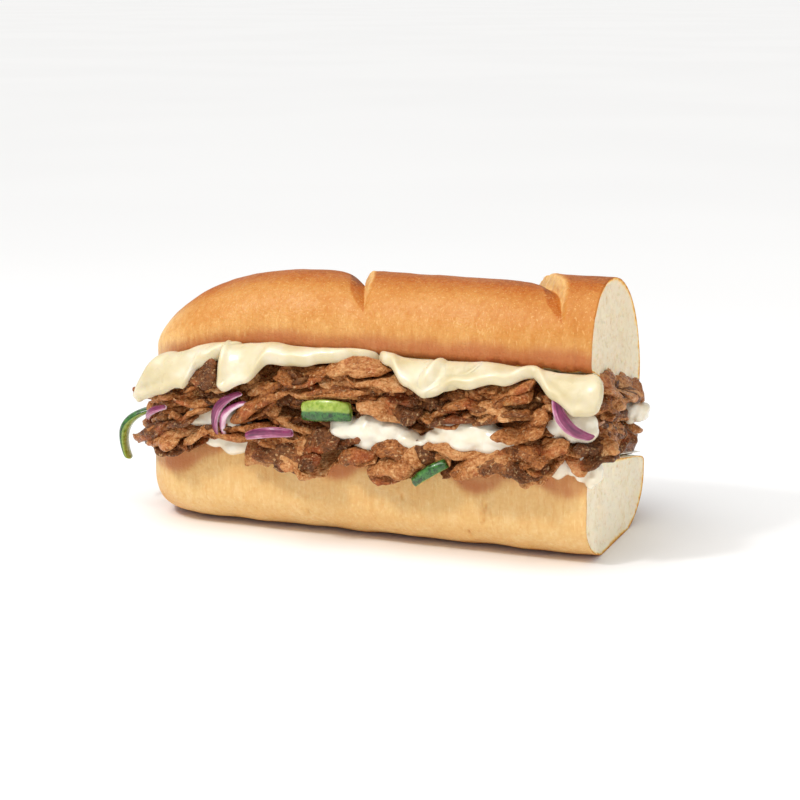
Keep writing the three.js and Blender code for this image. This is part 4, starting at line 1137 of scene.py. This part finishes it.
# Red onion and green pepper
# Thin curved strips of red onion with purple skin and lilac flesh, and thicker strips of green pepper with
# dark glossy skin on one side. They lie between the slices of steak and stick out a little.
ONION_SKIN = np.pi * 0.9


def strip(rim, z, out, length, high, bow, slant, thick, turn, skin_at, square, seed):
    """A bent strip: rings along it, rounded square in section, narrower and rounded off at its ends, arched
    up by its bow and in by a parabola. Skin is 1 on the side of the section that faces one way."""
    steps, loops = 72, 40
    u = eased(steps)[:, None]
    loop = turns(loops)[None]
    b, c = section(loop, 3.4, 3.4)
    end = np.sqrt(np.clip(1 - np.abs(u) ** square, 0, 1))
    x = (length / 2) * u + 0.25 * noise(b * 2, c * 2, u, seed) * np.abs(u) ** 6 * end
    y = b * end * (thick / 2) * (1 - 0.3 * c * c) + 1.6 * u * u
    h = c * end * (high / 2) * (1 - (0.3 if square < 50 else 0.18) * u * u) + bow * (0.5 - u * u)
    y = y + 0.12 * noise(x / 3, c * 2, 0.5, seed + 1) * end
    h = h + 0.12 * noise(x / 2.5, b * 2, 0.5, seed + 2) * end
    p = on_rim(np.stack(np.broadcast_arrays(x, y, h), -1), rim, z, out, slant, 0.0, turn)
    skin = np.clip(np.cos(loop - skin_at), 0, 1) * np.ones_like(u)
    along = u * length / 2 * MM + 0 * loop
    values = {"skin": skin.ravel(), "along": along.ravel()}
    return p.reshape(-1, 3), grid_faces(steps, loops, closed=True), values


onion = Finish("red_onion", Subsurface_Weight=0.4, Subsurface_Radius=(1.0, 0.5, 0.8), Subsurface_Scale=0.0015,
               Specular_IOR_Level=0.5, Coat_Weight=0.4, Coat_Roughness=0.15)
streak = onion.grain(0.8, 2.0, of=onion.vector(onion.value("along") * 0.1, onion.value("skin") * 0.006, 0.0))
depth = onion.value("skin") * 0.62 + (streak - 0.5) * 1.3 + (onion.grain(3, 2.0) - 0.5) * 0.6
onion.wear(
    Base_Color=onion.ramp(
        depth, (0.0, srgb(232, 206, 214)), (0.24, srgb(196, 124, 158)), (0.46, srgb(146, 54, 98)),
        (0.8, srgb(88, 18, 62)),
    ),
    Normal=onion.bump(streak, 0.2, 0.5),
    Roughness=onion.ranged(streak, 0.3, 0.7, 0.22, 0.36),
)
pepper = Finish("green_pepper", Subsurface_Weight=0.35, Subsurface_Radius=(0.5, 1.0, 0.2),
                Subsurface_Scale=0.0015, Specular_IOR_Level=0.5, Coat_Weight=0.5, Coat_Roughness=0.14)
mottle = pepper.grain(1.3, 3.0)
cover = pepper.ranged(pepper.value("skin") + (mottle - 0.5) * 0.35, 0.3, 0.55)
flesh = pepper.ramp(mottle, (0.3, srgb(124, 152, 44)), (0.7, srgb(176, 192, 88)))
char = pepper.ranged(pepper.grain(0.7, 2.0), 0.56, 0.66, 0.0, 0.8)
rind = pepper.ramp(mottle, (0.3, srgb(24, 58, 18)), (0.55, srgb(50, 108, 36)), (0.8, srgb(84, 142, 56)))
rind = pepper.mix(char, rind, srgb(16, 26, 10))
pepper.wear(
    Base_Color=pepper.mix(cover, flesh, rind),
    Normal=pepper.bump(mottle, 0.22, 0.5),
    Roughness=pepper.ranged(mottle, 0.3, 0.7, 0.2, 0.4),
)
for number, (name, rim, z, out, length, high, bow, slant) in enumerate(ONIONS):
    parts = [strip(rim, z, out, length, high, bow, slant, ONION_THICK, 0, ONION_SKIN, 36, 90 + number)]
    if name == "onion_1":
        second = (rim + 2, z - 1.8, out - 0.3, length * 0.85, high * 0.85, bow, slant)
        parts.append(strip(*second, 1.5, 0, 2.0, 36, 89))
    points, faces, values = merged(parts)
    make_piece("strip_of_" + name, points, faces, [onion], "onion", [name], **values)
for number, (name, *row) in enumerate(PEPPERS):
    points, faces, values = strip(*row, 60, 96 + number)
    make_piece("strip_of_" + name, points, faces, [pepper], "pepper", [name], **values)

# Floor, light and camera
# A plain near-white floor under a pale sky, a wide soft sun from the upper left in front, and a long lens at
# the photograph's angle.
FLOOR_HALF = 60.0
floor_mesh = bpy.data.meshes.new("floor")
corners = [(x * FLOOR_HALF, y * FLOOR_HALF, 0) for x, y in ((-1, -1), (1, -1), (1, 1), (-1, 1))]
floor_mesh.from_pydata(corners, [], [(0, 1, 2, 3)])
floor = placed("floor", floor_mesh)
paint = Finish("floor_paint", Roughness=0.9, Specular_IOR_Level=0.1)
cloudy = paint.grain(400, 1.0)
paint.wear(Base_Color=paint.ramp(cloudy, (0.4, (0.955, 0.955, 0.955, 1)), (0.6, (0.97, 0.97, 0.97, 1))))
floor_mesh.materials.append(paint.material)

world = bpy.data.worlds.new("pale_sky")
world.use_nodes = True
sky = world.node_tree.nodes["Background"]
sky.inputs["Color"].default_value = (1.0, 1.0, 1.0, 1.0)
sky.inputs["Strength"].default_value = 0.5
bpy.context.scene.world = world


def lamp(name, kind, energy, source, target=(0.0, 0.0, 0.04), **settings):
    """A lamp at a source that shines on a target, both in metres."""
    data = bpy.data.lights.new(name, kind)
    data.energy = energy
    for key, value in settings.items():
        setattr(data, key, value)
    made = placed(name, data)
    made.location = source
    made.rotation_euler = (Vector(target) - Vector(source)).to_track_quat("-Z", "Y").to_euler()


lamp("soft_sun", "SUN", 1.62, (-0.2, -0.34, 0.95), angle=math.radians(48), color=(1.0, 0.99, 0.97))
lamp("sparkle", "AREA", 1.3, (-0.2, -0.4, 0.5), size=0.07)
lamp("right_fill", "AREA", 0.85, (0.55, -0.3, 0.14), size=0.5)

scene = bpy.context.scene
scene.view_settings.view_transform = "Standard"
scene.view_settings.look = "None"
CAMERA_PLACE = (0.22154, -0.54005, 0.16184)
YAW, PITCH = math.radians(21.461), math.radians(12.181)
camera_data = bpy.data.cameras.new("camera")
camera_data.lens = 90
camera_data.sensor_width = 36
camera_data.clip_end = 200
camera = placed("camera", camera_data)
forward = Vector((-math.sin(YAW) * math.cos(PITCH), math.cos(YAW) * math.cos(PITCH), -math.sin(PITCH)))
right = Vector((math.cos(YAW), math.sin(YAW), 0))
axes = Matrix((right, right.cross(forward), -forward)).transposed()
camera.matrix_world = Matrix.Translation(CAMERA_PLACE) @ axes.to_4x4()
scene.camera = camera
